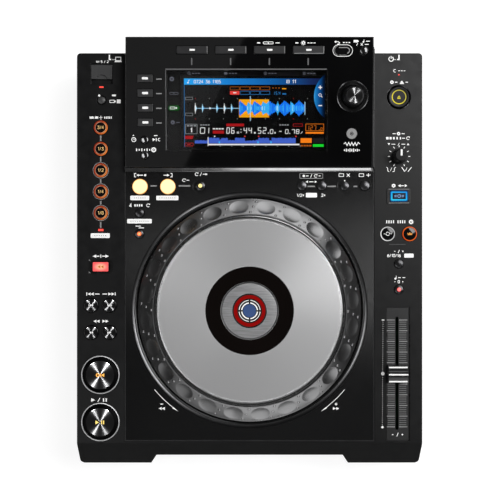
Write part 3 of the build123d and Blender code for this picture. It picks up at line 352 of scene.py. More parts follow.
M = {
    "casing": plastic("casing_plastic", (0.0048, 0.0048, 0.0051), 0.40, grain=0.25, grain_scale=2600.0, soft_edge=0.0004, spec=0.28),
    "deck": plastic("deck_lacquer", (0.0070, 0.0070, 0.0073), 0.19, grain=0.05, grain_scale=3200.0, soft_edge=0.0005, rough_vary=0.015),
    "chassis": plastic("chassis_coat", (0.014, 0.014, 0.015), 0.48, grain=0.5, grain_scale=900.0, soft_edge=0.0004),
    "face": plastic("display_gloss", (0.0021, 0.0021, 0.0023), 0.035, vary=0.3, rough_vary=0.012, soft_edge=0.0003),
    "screen": plastic("screen_glass_black", (0.0022, 0.0022, 0.0024), 0.10, vary=0.3),
    "key_black": plastic("key_black", (0.008, 0.008, 0.0085), 0.22, soft_edge=0.0002),
    "key_gloss": plastic("key_gloss", (0.004, 0.004, 0.0045), 0.06, rough_vary=0.02),
    "key_chrome": plastic("key_black_chrome", (0.30, 0.30, 0.305), 0.07, metallic=1.0, rough_vary=0.02),
    "key_grey": plastic("key_grey", (0.040, 0.040, 0.041), 0.34, grain=0.2, soft_edge=0.0002),
    "key_face": plastic("key_face", (0.023, 0.023, 0.024), 0.34, grain=0.2, soft_edge=0.0002),
    "eject_face": plastic("eject_key_face", (0.014, 0.014, 0.017), 0.36, grain=0.2, soft_edge=0.0002, spec=0.2),
    "eject_rim": plastic("eject_key_rim", (0.006, 0.006, 0.0063), 0.34, spec=0.25),
    "key_silver": plastic("key_silver", (0.075, 0.075, 0.078), 0.24, metallic=0.85, rough_vary=0.03),
    "key_dark_metal": plastic("key_dark_metal", (0.05, 0.05, 0.052), 0.24, metallic=0.8, rough_vary=0.03),
    "key_matt": plastic("key_matt", (0.00084, 0.00084, 0.0009), 0.5, spec=0.05, soft_edge=0.0002),
    "nub": plastic("jog_nub_metal", (0.72, 0.72, 0.725), 0.26, metallic=1.0, rough_vary=0.03),
    "knob": plastic("knob_black", (0.010, 0.010, 0.011), 0.30, grain=0.15, soft_edge=0.0002),
    "rubber": plastic("foot_rubber", (0.010, 0.010, 0.010), 0.75, grain=0.8, grain_scale=700.0),
    "steel": plastic("zinc_steel", (0.30, 0.29, 0.27), 0.32, metallic=1.0),
    "slider_cap": plastic("slider_cap", (0.012, 0.012, 0.0125), 0.36, grain=0.2, soft_edge=0.0003),
    "slider_plate": plastic("slider_plate", (0.0118, 0.0118, 0.0122), 0.42, grain=0.2),
    "drive": plastic("drive_plate", (0.30, 0.30, 0.31), 0.38, metallic=0.9),
    # white print with a painted glow on top of its colour
    "ink": plastic("white_print", (0.88, 0.88, 0.87), 0.45, vary=0.03, glow=0.26, wear=0.0, grain=0.05),
    # grey print, also used for painted highlights on the menu keys' edges
    "ink_grey_and_painted_highlight": plastic("grey_print", (0.30, 0.30, 0.30), 0.45, vary=0.05, wear=0.0, grain=0.05),
    "ink_dim": plastic("dim_print", (0.075, 0.075, 0.078), 0.40, vary=0.08, wear=0.0, grain=0.05),
    # black print, also used as painted shade in the gap beside the display and round the slider bed
    "ink_black_and_painted_shade": plastic("black_print", (0.002, 0.002, 0.002), 0.30, vary=0.2, wear=0.0, grain=0.05),
    "ink_red": plastic("red_print", (0.31, 0.005, 0.0045), 0.6, vary=0.06, spec=0.0, wear=0.0, grain=0.05),
    "ink_blue": plastic("blue_print", (0.045, 0.095, 0.26), 0.4, vary=0.06, spec=0.3, wear=0.0, grain=0.05),
    # lighter colour standing in for the deck rim's highlight: painted highlight
    "edge": plastic("bright_edge", (0.055, 0.055, 0.056), 0.25, metallic=0.3),
    "silver_trim": plastic("silver_trim", (0.80, 0.80, 0.81), 0.24, metallic=0.45, rough_vary=0.04),
    "trim": plastic("front_trim", (0.62, 0.62, 0.625), 0.15, metallic=1.0, rough_vary=0.03),
    "bezel": plastic("bezel_ring", (0.088, 0.088, 0.09), 0.33, metallic=1.0, rough_vary=0.03),
    "gloss_ring": plastic("black_gloss_ring", (0.06, 0.06, 0.062), 0.16, metallic=1.0, rough_vary=0.03),
    "jog_ring": plastic("jog_ring_paint", (0.42, 0.42, 0.425), 0.29, metallic=1.0, grain=0.12, grain_scale=2500.0, rough_vary=0.02, vary=0.05),
    "fillet": plastic("platter_fillet_metal", (0.62, 0.62, 0.625), 0.26, metallic=1.0, rough_vary=0.03),
    "spun": turned("spun_key_cap", (0.30, 0.30, 0.305), 0.19, 1.0, vary=0.06, rough_vary=0.012),
    "spun_small": turned("spun_small_cap", (0.20, 0.20, 0.203), 0.16, 1.0, vary=0.06, rough_vary=0.01),
    "spun_knob": turned("spun_knob_top", (0.34, 0.34, 0.345), 0.25, 1.0, vary=0.06, rough_vary=0.012),
    "platter": turned("platter_satin", (0.50, 0.50, 0.505), 0.43, 0.6, metallic=0.4, vary=0.03, rings=500.0),
    "hub_grey": streaked("hub_display_grey", (0.27, 0.27, 0.275), 0.4),
    "red_led": lit("red_lens", (1.0, 0.07, 0.05), 1.1),
    "orange_led": lit("orange_lens", (1.0, 0.42, 0.16), 1.3, rim=(0.9, 0.12, 0.03), rim_from=0.45),
    "yellow_led": lit("yellow_lens", (1.0, 0.80, 0.30), 1.1),
    "pink_led": lit("pink_lens", (1.0, 0.20, 0.19), 1.2, rim=(0.9, 0.08, 0.08), rim_from=0.7),
    "cream_cap": lit("cream_lit_cap", (1.0, 0.93, 0.50), 1.02, rim=(0.95, 0.30, 0.03), rim_from=0.87, base=(0.30, 0.24, 0.10)),
    # lit key rings: the glow is real; the run from bright to dark across each ring is painted highlight and painted
    # shade
    "ring_lit": glow_with_painted_sheen("orange_lit_ring", [(0.0, (0.30, 0.012, 0.004)), (0.35, (0.42, 0.035, 0.010)),
                                                (0.6, (0.62, 0.11, 0.02)), (1.0, (0.95, 0.27, 0.04))], 0.9),
    "ring_pale": glow_with_painted_sheen("pale_lit_ring", [(0.0, (0.24, 0.08, 0.06)), (0.3, (0.60, 0.32, 0.20)), (0.55, (0.34, 0.06, 0.03)),
                                               (0.8, (0.85, 0.45, 0.22)), (1.0, (0.75, 0.30, 0.10))], 0.85, axis=(1.0, -0.2)),
    "ring_orange": glow_with_painted_sheen("master_lit_ring", [(0.0, (0.45, 0.03, 0.004)), (0.5, (0.80, 0.13, 0.01)), (1.0, (0.62, 0.07, 0.006))], 0.95, axis=(1.0, 0.5)),
    "ring_white": glow_with_painted_sheen("sync_lit_ring", [(0.0, (0.75, 0.75, 0.75)), (0.5, (0.42, 0.42, 0.42)), (1.0, (0.22, 0.22, 0.22))], 0.9, axis=(1.0, 0.6), base=(0.3, 0.3, 0.3)),
    "num_cream": lit("pale_orange_print", (0.85, 0.55, 0.22), 0.75),
    "glyph_yellow": lit("lit_yellow_glyph", (1.0, 0.72, 0.18), 1.1),
    "glyph_orange": lit("lit_orange_glyph", (1.0, 0.45, 0.08), 1.1),
    # eject and jog-mode glows: painted highlight on one side, painted shade on the other
    "glyph_eject": glow_with_painted_sheen("eject_yellow", [(0.0, (0.30, 0.26, 0.06)), (0.35, (0.50, 0.44, 0.03)), (0.7, (0.85, 0.70, 0.01)), (1.0, (0.80, 0.66, 0.02))], 0.8, axis=(-1.0, -1.0), base=(0.2, 0.17, 0.01)),
    "cyan": glow_with_painted_sheen("cyan_lit_ring", [(0.0, (0.0, 0.30, 0.82)), (0.5, (0.0, 0.46, 0.95)), (1.0, (0.03, 0.72, 1.0))], 0.95, axis=(-0.6, -0.8), base=(0.0, 0.004, 0.01)),
    "deep_blue": glow_with_painted_sheen("deep_blue_lit_rim", [(0.0, (0.0, 0.05, 0.30)), (1.0, (0.002, 0.20, 0.60))], 0.9, axis=(-0.6, -0.8), base=(0.0, 0.002, 0.006)),
    "usb_cap": plastic("usb_stop_cap", (0.05, 0.05, 0.051), 0.42, grain=0.2, soft_edge=0.0002),
    "dome_black": plastic("dome_black", (0.012, 0.012, 0.0125), 0.20, rough_vary=0.03),
    "usb_cover": plastic("usb_cover_plastic", (0.052, 0.052, 0.053), 0.38, grain=0.3, soft_edge=0.0003),
    "knob_top": plastic("knob_dull_top", (0.0075, 0.0075, 0.008), 0.5, grain=0.3, spec=0.22, soft_edge=0.0002),
    "rca_red": plastic("rca_red", (0.35, 0.01, 0.01), 0.35),
    "rca_white": plastic("rca_white", (0.62, 0.62, 0.60), 0.35),
    "rca_orange": plastic("rca_orange", (0.60, 0.16, 0.01), 0.35),
}


def window_glass():
    n = Nodes("window_acrylic")
    vec = n.coords()
    n.link(n.ramp(n.noise(vec, 30.0), [(0.3, (0.93, 0.94, 0.95)), (0.7, (1.0, 1.0, 1.0))]), n.p.inputs["Base Color"])
    n.link(n.span(n.noise(vec, 60.0), 0.0, 0.012), n.p.inputs["Roughness"])
    n.p.inputs["Transmission Weight"].default_value = 1.0
    n.p.inputs["IOR"].default_value = 1.22
    return n.m


def direction_glow():
    n = Nodes("direction_lit_key")
    sep = n.add("ShaderNodeSeparateXYZ")
    n.link(n.coords("Generated"), sep.inputs[0])
    out = []
    for i, w in ((0, 1.0), (1, 1.0)):
        m = n.add("ShaderNodeMath", operation="MULTIPLY_ADD")
        m.inputs[1].default_value, m.inputs[2].default_value = 2.0, -1.0
        n.link(sep.outputs[i], m.inputs[0])
        out.append(m.outputs[0])
    comb = n.add("ShaderNodeCombineXYZ")
    n.link(out[0], comb.inputs[0])
    n.link(out[1], comb.inputs[1])
    ln = n.add("ShaderNodeVectorMath", operation="LENGTH")
    n.link(comb.outputs[0], ln.inputs[0])
    n.link(n.ramp(ln.outputs["Value"], [(0.0, (1.0, 0.62, 0.30)), (0.45, (1.0, 0.42, 0.26)), (0.8, (0.95, 0.16, 0.14)),
                                        (1.0, (0.80, 0.08, 0.08))]), n.p.inputs["Emission Color"])
    n.p.inputs["Emission Strength"].default_value = 0.95
    n.p.inputs["Base Color"].default_value = (0.4, 0.05, 0.05, 1)
    return n.m


def board_mix():
    """Green boards inside, with black sockets and nickel jack barrels at the rear, told apart by where they are."""
    n = Nodes("boards_and_jacks")
    vec = n.coords()
    sep = n.add("ShaderNodeSeparateXYZ")
    n.link(vec, sep.inputs[0])
    noise = n.noise(vec, 120.0, 3.0)
    green = n.ramp(noise, [(0.35, (0.010, 0.060, 0.022)), (0.6, (0.016, 0.095, 0.034))])
    black = n.ramp(noise, [(0.3, (0.010, 0.010, 0.011)), (0.7, (0.016, 0.016, 0.017))])
    metal = n.ramp(noise, [(0.3, (0.50, 0.46, 0.38)), (0.7, (0.62, 0.58, 0.50))])

    def above(sock, limit):
        m = n.add("ShaderNodeMath", operation="GREATER_THAN")
        n.link(sock, m.inputs[0])
        m.inputs[1].default_value = limit
        return m.outputs[0]

    def times(a, b):
        m = n.add("ShaderNodeMath", operation="MULTIPLY")
        n.link(a, m.inputs[0])
        n.link(b, m.inputs[1])
        return m.outputs[0]

    rear = above(sep.outputs[1], 0.160)
    barrels = times(above(sep.outputs[0], 0.052), above(sep.outputs[1], 0.1789))
    usb = n.add("ShaderNodeMath", operation="COMPARE")
    n.link(sep.outputs[0], usb.inputs[0])
    usb.inputs[1].default_value, usb.inputs[2].default_value = -0.022, 0.0075
    usb_metal = times(usb.outputs[0], rear)
    both = n.add("ShaderNodeMath", operation="MAXIMUM")
    n.link(barrels, both.inputs[0])
    n.link(usb_metal, both.inputs[1])

    def mix(fac, a, b):
        m = n.add("ShaderNodeMix", data_type="RGBA")
        n.link(fac, m.inputs[0])
        n.link(a, m.inputs[6])
        n.link(b, m.inputs[7])
        return m.outputs[2]

    n.link(mix(both.outputs[0], mix(rear, green, black), metal), n.p.inputs["Base Color"])
    n.link(both.outputs[0], n.p.inputs["Metallic"])
    n.link(n.span(noise, 0.28, 0.42), n.p.inputs["Roughness"])
    return n.m


M["window"] = window_glass()
M["direction"] = direction_glow()
M["boards"] = board_mix()


def glow(name, color, strength=1.0):
    """A colour of the lit screen: slight cell-to-cell variation."""
    n = Nodes(name)
    noise = n.noise(n.coords(), 1500.0, 1.0)
    n.link(n.ramp(noise, [(0.3, shade(color, 0.94)), (0.7, shade(color, 1.06))]), n.p.inputs["Emission Color"])
    n.p.inputs["Emission Strength"].default_value = strength
    n.p.inputs["Base Color"].default_value = (0.0, 0.0, 0.0, 1)
    n.p.inputs["Specular IOR Level"].default_value = 0.0
    return n.m


SCREEN = {
    "white": glow("screen_white", (0.80, 0.80, 0.80)),
    "grey": glow("screen_grey", (0.25, 0.26, 0.27)),
    "dim": glow("screen_dim", (0.095, 0.100, 0.120)),
    "blue": glow("screen_blue", (0.008, 0.17, 0.85)),
    "sky": glow("screen_sky", (0.04, 0.42, 0.90)),
    "pale": glow("screen_pale", (0.42, 0.72, 0.92)),
    "slate": glow("screen_slate", (0.055, 0.12, 0.56)),
    "line": glow("screen_line", (0.02, 0.16, 0.42)),
    "orange": glow("screen_orange", (0.90, 0.36, 0.005)),
    "amber": glow("screen_amber", (0.95, 0.22, 0.01)),
    "ember": glow("screen_ember", (0.62, 0.14, 0.006)),
    "rust": glow("screen_rust", (0.42, 0.095, 0.008)),
    "red": glow("screen_red", (0.36, 0.008, 0.010)),
    "bright_red": glow("screen_bright_red", (0.75, 0.05, 0.04)),
    "green": glow("screen_green", (0.01, 0.66, 0.03)),
    "leaf": glow("screen_leaf", (0.004, 0.075, 0.008)),
    "dusk": glow("screen_dusk", (0.012, 0.012, 0.0135)),
    "black": glow("screen_black", (0.0012, 0.0012, 0.0014)),
}


# ---------------------------------------------------------------- pieces
def finish_mesh(name, verts, faces, material, body, smooth=None):
    mesh = bpy.data.meshes.new(name)
    mesh.from_pydata(verts, [], faces)
    mesh.update()
    bm = bmesh.new()
    bm.from_mesh(mesh)
    bmesh.ops.recalc_face_normals(bm, faces=bm.faces)
    bm.to_mesh(mesh)
    bm.free()
    if smooth is not None:
        for p in mesh.polygons:
            p.use_smooth = True
        mesh.set_sharp_from_angle(angle=math.radians(smooth))
    o = bpy.data.objects.new(name, mesh)
    scene.collection.objects.link(o)
    mesh.materials.append(material)
    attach(o, body)
    return o


def arc(cx, cy, r, a0, a1, n=24):
    return [(cx + r * math.cos(math.radians(a0 + (a1 - a0) * i / n)),
             cy + r * math.sin(math.radians(a0 + (a1 - a0) * i / n))) for i in range(n + 1)]


STROKES = {
    "0": [[(.1, 0), (.5, 0), (.6, .15), (.6, .85), (.5, 1), (.1, 1), (0, .85), (0, .15), (.1, 0)]],
    "1": [[(.1, .76), (.34, 1), (.34, 0)]],
    "2": [[(0, .84), (.1, 1), (.5, 1), (.6, .85), (.6, .62), (0, 0), (.62, 0)]],
    "3": [[(0, 1), (.58, 1), (.26, .6), (.46, .58), (.6, .42), (.6, .15), (.46, 0), (.12, 0), (0, .12)]],
    "4": [[(.44, 0), (.44, 1), (0, .3), (.62, .3)]],
    "5": [[(.56, 1), (.06, 1), (.03, .56), (.44, .6), (.6, .44), (.6, .15), (.46, 0), (.1, 0), (0, .1)]],
    "6": [[(.5, 1), (.2, .84), (0, .5), (0, .15), (.12, 0), (.48, 0), (.6, .14), (.6, .42), (.48, .56), (.02, .52)]],
    "7": [[(0, 1), (.6, 1), (.2, 0)]],
    "8": [[(.12, 0), (.48, 0), (.6, .14), (.6, .42), (.46, .54), (.56, .66), (.56, .88), (.44, 1), (.16, 1),
           (.04, .88), (.04, .66), (.14, .54), (0, .42), (0, .14), (.12, 0)]],
    "9": [[(.1, 0), (.4, .16), (.6, .5), (.6, .85), (.48, 1), (.12, 1), (0, .86), (0, .58), (.12, .44), (.58, .48)]],
    "/": [[(0, -.04), (.42, 1.04)]],
    "+": [[(.04, .5), (.56, .5)], [(.3, .24), (.3, .76)]],
    "-": [[(.06, .5), (.54, .5)]],
    "~": [[(.04, .62), (.56, .62)], [(.3, .38), (.3, .88)], [(.04, .12), (.56, .12)]],
    "x": [[(.04, .2), (.56, .8)], [(.56, .2), (.04, .8)]],
    "%": [[(0, 0), (.6, 1)], [(.04, .78), (.2, .78), (.2, .98), (.04, .98), (.04, .78)],
          [(.42, .02), (.58, .02), (.58, .22), (.42, .22), (.42, .02)]],
}
WIDTHS = {"/": .42, "1": .42, " ": .4, ".": .2, ":": .2}
SEGMENTS = {"0": "abcdef", "1": "bc", "2": "abged", "3": "abgcd", "4": "fgbc", "5": "afgcd", "6": "afgedc",
            "7": "abc", "8": "abcdefg", "9": "abcdfg", "-": "g"}


class Flat:
    """Thin closed shapes on one plane, gathered into one piece."""

    def __init__(self, name, plane, w0, w1):
        self.name, self.plane, self.w0, self.w1 = name, plane, w0, w1
        self.v, self.f = [], []

    def poly(self, pts):
        area = sum(a[0] * b[1] - b[0] * a[1] for a, b in zip(pts, pts[1:] + pts[:1]))
        pts = pts if area > 0 else pts[::-1]
        n, base = len(pts), len(self.v)
        for w in (self.w0, self.w1):
            self.v += [self.plane(u, v, w) for u, v in pts]
        self.f.append(tuple(base + n + i for i in range(n)))
        self.f.append(tuple(base + n - 1 - i for i in range(n)))
        for i in range(n):
            j = (i + 1) % n
            self.f.append((base + i, base + j, base + n + j, base + n + i))

    def band(self, left, right, closed=False):
        base, n = len(self.v), len(left)
        for (lu, lv), (ru, rv) in zip(left, right):
            self.v += [self.plane(lu, lv, self.w0), self.plane(ru, rv, self.w0),
                       self.plane(ru, rv, self.w1), self.plane(lu, lv, self.w1)]
        for i in range(n if closed else n - 1):
            a, b = base + 4 * i, base + 4 * ((i + 1) % n)
            self.f += [(a, b, b + 1, a + 1), (a + 1, b + 1, b + 2, a + 2),
                       (a + 2, b + 2, b + 3, a + 3), (a + 3, b + 3, b, a)]
        if not closed:
            self.f.append((base, base + 1, base + 2, base + 3))
            e = base + 4 * (n - 1)
            self.f.append((e + 3, e + 2, e + 1, e))

    def line(self, pts, width, closed=None):
        """A stroke of even width with mitred corners."""
        if closed is None:
            closed = len(pts) > 3 and math.dist(pts[0], pts[-1]) < 1e-6
        if closed:
            pts = pts[:-1] if math.dist(pts[0], pts[-1]) < 1e-6 else pts
        left, right, n = [], [], len(pts)
        for i, p in enumerate(pts):
            a = pts[i - 1] if (i > 0 or closed) else None
            b = pts[(i + 1) % n] if (i < n - 1 or closed) else None
            dirs = []
            for s, e in ((a, p), (p, b)):
                if s is not None and e is not None:
                    d = Vector((e[0] - s[0], e[1] - s[1]))
                    if d.length > 1e-9:
                        dirs.append(d.normalized())
            t = sum(dirs, Vector((0, 0)))
            t = t.normalized() if t.length > 1e-6 else dirs[0]
            nrm = Vector((-t.y, t.x))
            k = max(0.4, abs(nrm.dot(Vector((-dirs[0].y, dirs[0].x)))))
            h = width / 2 / k
            left.append((p[0] + nrm.x * h, p[1] + nrm.y * h))
            right.append((p[0] - nrm.x * h, p[1] - nrm.y * h))
        self.band(left, right, closed)

    def rect(self, x, y, w, h):
        self.poly([(x - w / 2, y - h / 2), (x + w / 2, y - h / 2), (x + w / 2, y + h / 2), (x - w / 2, y + h / 2)])

    def rounded(self, x, y, w, h, r):
        self.poly(rounded_points(x, y, w, h, r))

    def outline(self, x, y, w, h, r, width):
        self.band(rounded_points(x, y, w - 2 * width, h - 2 * width, max(0.05, r - width)), rounded_points(x, y, w, h, r), True)

    def disc(self, x, y, r, n=40):
        self.poly(arc(x, y, r, 0, 360, n)[:-1])

    def ring(self, x, y, r0, r1, n=72):
        self.band(arc(x, y, r0, 0, 360, n)[:-1], arc(x, y, r1, 0, 360, n)[:-1], True)

    def sector(self, x, y, r0, r1, a0, a1, n=16):
        self.band(arc(x, y, r0, a0, a1, n), arc(x, y, r1, a0, a1, n))

    def tri(self, x, y, w, h, way="right"):
        p = {"right": [(-w / 2, -h / 2), (w / 2, 0), (-w / 2, h / 2)],
             "left": [(w / 2, -h / 2), (w / 2, h / 2), (-w / 2, 0)],
             "up": [(-w / 2, -h / 2), (w / 2, -h / 2), (0, h / 2)],
             "down": [(-w / 2, h / 2), (0, -h / 2), (w / 2, h / 2)]}[way]
        self.poly([(x + a, y + b) for a, b in p])

    def text(self, x, y, s, h, width, anchor="middle", slant=0.0, squeeze=1.0):
        """Plain numerals and signs, h mm tall, centred on (x, y)."""
        adv = [(WIDTHS.get(c, .6) + .26) * h * squeeze for c in s]
        total = sum(adv) - .26 * h * squeeze
        u = x - total / 2 if anchor == "middle" else x
        for c, a in zip(s, adv):
            if c in ".:":
                for q in ([.08] if c == "." else [.25, .75]):
                    self.rect(u + .1 * h, y - h / 2 + q * h, width * 1.2, width * 1.2)
            for st in STROKES.get(c, []):
                self.line([(u + px * h * squeeze + slant * py * h, y - h / 2 + py * h) for px, py in st], width)
            u += a

    def segments(self, x, y, s, h, width, anchor="left", slant=0.06, w_ratio=0.5):
        """Numerals in the manner of a seven-segment display."""
        w = h * w_ratio
        u = x
        adv = {".": .18 * h, ":": .22 * h, " ": .3 * h, "1": w + .24 * h}
        if anchor == "right":
            u = x - sum(adv.get(c, w + .24 * h) for c in s)
        g = width * 0.12
        for c in s:
            if c == ".":
                self.rect(u + .02 * h, y + width / 2, width, width)
            elif c == ":":
                self.rect(u + .06 * h, y + .28 * h, width, width)
                self.rect(u + .09 * h, y + .70 * h, width, width)
            elif c in SEGMENTS:
                m, e, t = h / 2, width / 2, h
                spots = {"a": ((e + g, t - e), (w - e - g, t - e)), "d": ((e + g, e), (w - e - g, e)), "g": ((e + g, m), (w - e - g, m)),
                         "f": ((e, m + g), (e, t - e - g)), "b": ((w - e, m + g), (w - e, t - e - g)),
                         "e": ((e, e + g), (e, m - g)), "c": ((w - e, e + g), (w - e, m - g))}
                for k in SEGMENTS[c]:
                    (ax, ay), (bx, by) = spots[k]
                    self.line([(u + ax + slant * ay, y + ay), (u + bx + slant * by, y + by)], width, closed=False)
            u += adv.get(c, w + .24 * h)

    def done(self, material, body="root", slot=None):
        if not self.v:
            raise ValueError(self.name)
        return finish_mesh(self.name, self.v, self.f, material, body)


def rounded_points(x, y, w, h, r, n=5):
    r = min(r, w / 2 - 1e-4, h / 2 - 1e-4)
    pts = []
    for cx, cy, a in ((w / 2 - r, h / 2 - r, 0), (-w / 2 + r, h / 2 - r, 90), (-w / 2 + r, -h / 2 + r, 180), (w / 2 - r, -h / 2 + r, 270)):
        pts += arc(x + cx, y + cy, r, a, a + 90, n)
    return pts


def lathe(name, plane, x, y, profile, material, body, slot=None, n=72, smooth=30):
    """Turned piece: profile is (radius, height) from the bottom outside to the top middle or back."""
    verts, faces, rows = [], [], []
    for r, w in profile:
        if r < 1e-6:
            rows.append([len(verts)])
            verts.append(plane(x, y, w))
        else:
            rows.append(list(range(len(verts), len(verts) + n)))
            verts += [plane(x + r * math.cos(2 * math.pi * i / n), y + r * math.sin(2 * math.pi * i / n), w) for i in range(n)]
    closed = profile[0][0] > 1e-6 and profile[-1][0] > 1e-6
    pairs = list(zip(rows, rows[1:])) + ([(rows[-1], rows[0])] if closed else [])
    for a, b in pairs:
        for i in range(n):
            j = (i + 1) % n
            if len(a) == 1 and len(b) == 1:
                continue
            if len(a) == 1:
                faces.append((a[0], b[i], b[j]))
            elif len(b) == 1:
                faces.append((a[i], a[j], b[0]))
            else:
                faces.append((a[i], a[j], b[j], b[i]))
    return finish_mesh(name, verts, faces, material, body, smooth)


def dome_profile(r, w0, h, rows=7, edge=0.25):
    """Low convex cap of radius r from height w0, closed underneath."""
    pts = [(0, w0 - 0.05), (r, w0 - 0.05), (r, w0 + edge * 0.3)]
    for i in range(1, rows):
        t = i / rows
        pts.append((r * math.cos(t * math.pi / 2) ** 0.6 if False else r * (1 - t), w0 + edge * 0.3 + (h - edge * 0.3) * (1 - (1 - t) ** 2)))
    pts.append((0, w0 + h))
    return pts


def slab(name, plane, pts, w0, w1, material, body, slot=None):
    f = Flat(name, plane, w0, w1)
    f.poly(pts)
    return f.done(material, body, slot)


# ---------------------------------------------------------------- finishes of the frame's own nodes
def finish_node(node, material):
    o = NODES[node]
    o.data.materials.clear()
    o.data.materials.append(material)


for node, key in {
    "bottom_chassis": "chassis", "top_cover": "casing", "deck_plate": "deck", "display_housing": "face",
    "display_window": "window", "lcd_module": "screen", "jog_post": "key_black", "circuit_boards": "boards",
    "disc_drive": "drive", "rubber_feet": "rubber", "screws": "steel", "jog_platter": "platter",
    "disc_hub": "knob", "power_button": "key_black", "usb_cover": "usb_cover", "tempo_slider": "slider_cap",
    "vinyl_speed_knob": "knob_top", "selector_shaft": "steel", "selector_knob": "knob_top",
    "cue_button": "key_matt", "play_button": "key_matt", "loop_in_button": "key_black", "loop_out_button": "key_black",
    "reloop_button": "key_black", "four_beat_button": "key_black", "slip_button": "key_black",
    "call_back_button": "key_black", "call_forward_button": "key_black", "delete_button": "key_black",
    "memory_button": "key_black", "eject_button": "eject_face", "jog_mode_button": "key_gloss", "sync_button": "key_gloss",
    "master_button": "key_gloss", "tempo_range_button": "key_black", "master_tempo_button": "key_black",
    "back_button": "key_gloss", "tag_button": "key_gloss", "time_mode_button": "key_gloss", "quantize_button": "key_gloss",
    "usb_stop_button": "key_black", "direction_button": "key_black",
    "track_back_button": "key_gloss", "track_forward_button": "key_gloss", "search_back_button": "key_gloss",
    "search_forward_button": "key_gloss",
}.items():
    finish_node(node, M[key])
for i in range(1, 6):
    finish_node(f"beat_button_{i}", M["key_gloss"])
for i in range(1, 5):
    finish_node(f"source_key_{i}", M["key_grey"])
for node in MENU_X:
    finish_node(node, M["key_face"])


# ---------------------------------------------------------------- jog ring with finger dimples
def jog_ring():
    n_turn, n_rows = 1440, 44
    nr, nz = math.sin(math.atan2(9.0, 12.9)), math.cos(math.atan2(9.0, 12.9))
    top = []
    for i in range(n_rows + 1):
        t = i / n_rows
        crown = 0.42 * 4 * t * (1 - t)
        top.append((97.7 - 12.9 * t + crown * nr, 78.0 + 9.0 * t + crown * nz))
    before = [(19.95, 59.0), (29.0, 59.0), (29.0, 72.0), (94.5, 72.0), (94.5, 62.0), (97.9, 62.0), (98.5, 62.6), (98.5, 77.2), (98.25, 77.75)]
    after = [(84.55, 87.1), (84.3, 87.02), (83.4, 86.35), (83.3, 86.1), (83.55, 85.7), (84.0, 85.4), (84.0, 75.0), (26.0, 75.0), (26.0, 80.0), (19.95, 80.0)]
    verts, faces, rows = [], [], []
    for r, z in before + top + after:
        row = []
        sloped = 84.7 < r < 98.0 and 77.9 < z
        for i in range(n_turn):
            a = 2 * math.pi * i / n_turn
            push = 0.0
            if sloped:
                step = math.radians(15.0)
                off = (a - math.radians(-84.0) + step / 2) % step - step / 2
                du, dv = off * 90.6 / 8.4, (r - 90.9) / 5.75
                q = du * du + dv * dv
                if q < 1.0:
                    push = 1.15 * (1 - q)
            row.append(len(verts))
            rr, zz = r - push * nr, z - push * nz
            verts.append(((JOG[0] + rr * math.cos(a)) * MM, (JOG[1] + rr * math.sin(a)) * MM, zz * MM))
        rows.append(row)
    for a, b in list(zip(rows, rows[1:])) + [(rows[-1], rows[0])]:
        for i in range(n_turn):
            j = (i + 1) % n_turn
            faces.append((a[i], a[j], b[j], b[i]))
    ring = finish_mesh("jog_ring_surface", verts, faces, M["jog_ring"], "jog_wheel", 50)
    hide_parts("jog_wheel")

    verts, faces = [], []
    for k in range(24):
        for r_px, turn in ((108.5, -1.6), (103.6, 0.0), (98.5, 1.6)):
            z_here = 78.0 + 9.0 * (97.7 - r_px * 0.877) / 12.9
            r = r_px * 0.8854 * (1 - (z_here - 74) / 900)
            a = math.radians(-84.0 + 7.0 + 15.0 * k + turn)
            nrm = Vector((nr * math.cos(a), nr * math.sin(a), nz))
            t = (97.7 - r) / 12.9
            c = Vector((JOG[0] + r * math.cos(a), JOG[1] + r * math.sin(a), 78.0 + 9.0 * t)) + nrm * (0.42 * 4 * t * (1 - t))
            t1 = Vector((-math.sin(a), math.cos(a), 0))
            t2 = nrm.cross(t1)
            base, rings_, seg = len(verts), 4, 14
            for q in range(rings_):
                ang = math.pi / 2 * q / rings_
                rad, h = 1.25 * math.cos(ang), 0.80 * math.sin(ang) - 0.1
                verts += [tuple((c + t1 * (rad * math.cos(2 * math.pi * s / seg)) + t2 * (rad * math.sin(2 * math.pi * s / seg)) + nrm * h) * MM) for s in range(seg)]
            verts.append(tuple((c + nrm * 0.70) * MM))
            for q in range(rings_ - 1):
                for s in range(seg):
                    faces.append((base + q * seg + s, base + q * seg + (s + 1) % seg, base + (q + 1) * seg + (s + 1) % seg, base + (q + 1) * seg + s))
            for s in range(seg):
                faces.append((base + (rings_ - 1) * seg + s, base + (rings_ - 1) * seg + (s + 1) % seg, base + rings_ * seg))
            faces.append(tuple(base + seg - 1 - s for s in range(seg)))
    finish_mesh("jog_ring_nubs", verts, faces, M["nub"], "jog_wheel", 60)


jog_ring()

# ridge round the jog well: bright crest on the deck's raised rim
lathe("jog_bezel_crest", DECK, *JOG, [(100.7, 1.2), (100.85, 1.7), (101.2, 1.92), (101.7, 1.97), (102.3, 1.85), (104.1, 0.9), (104.6, 0.4), (104.65, 0.02), (103.6, 0.02), (100.7, 1.0)],
      M["bezel"], "root", "casing_black", n=288, smooth=60)

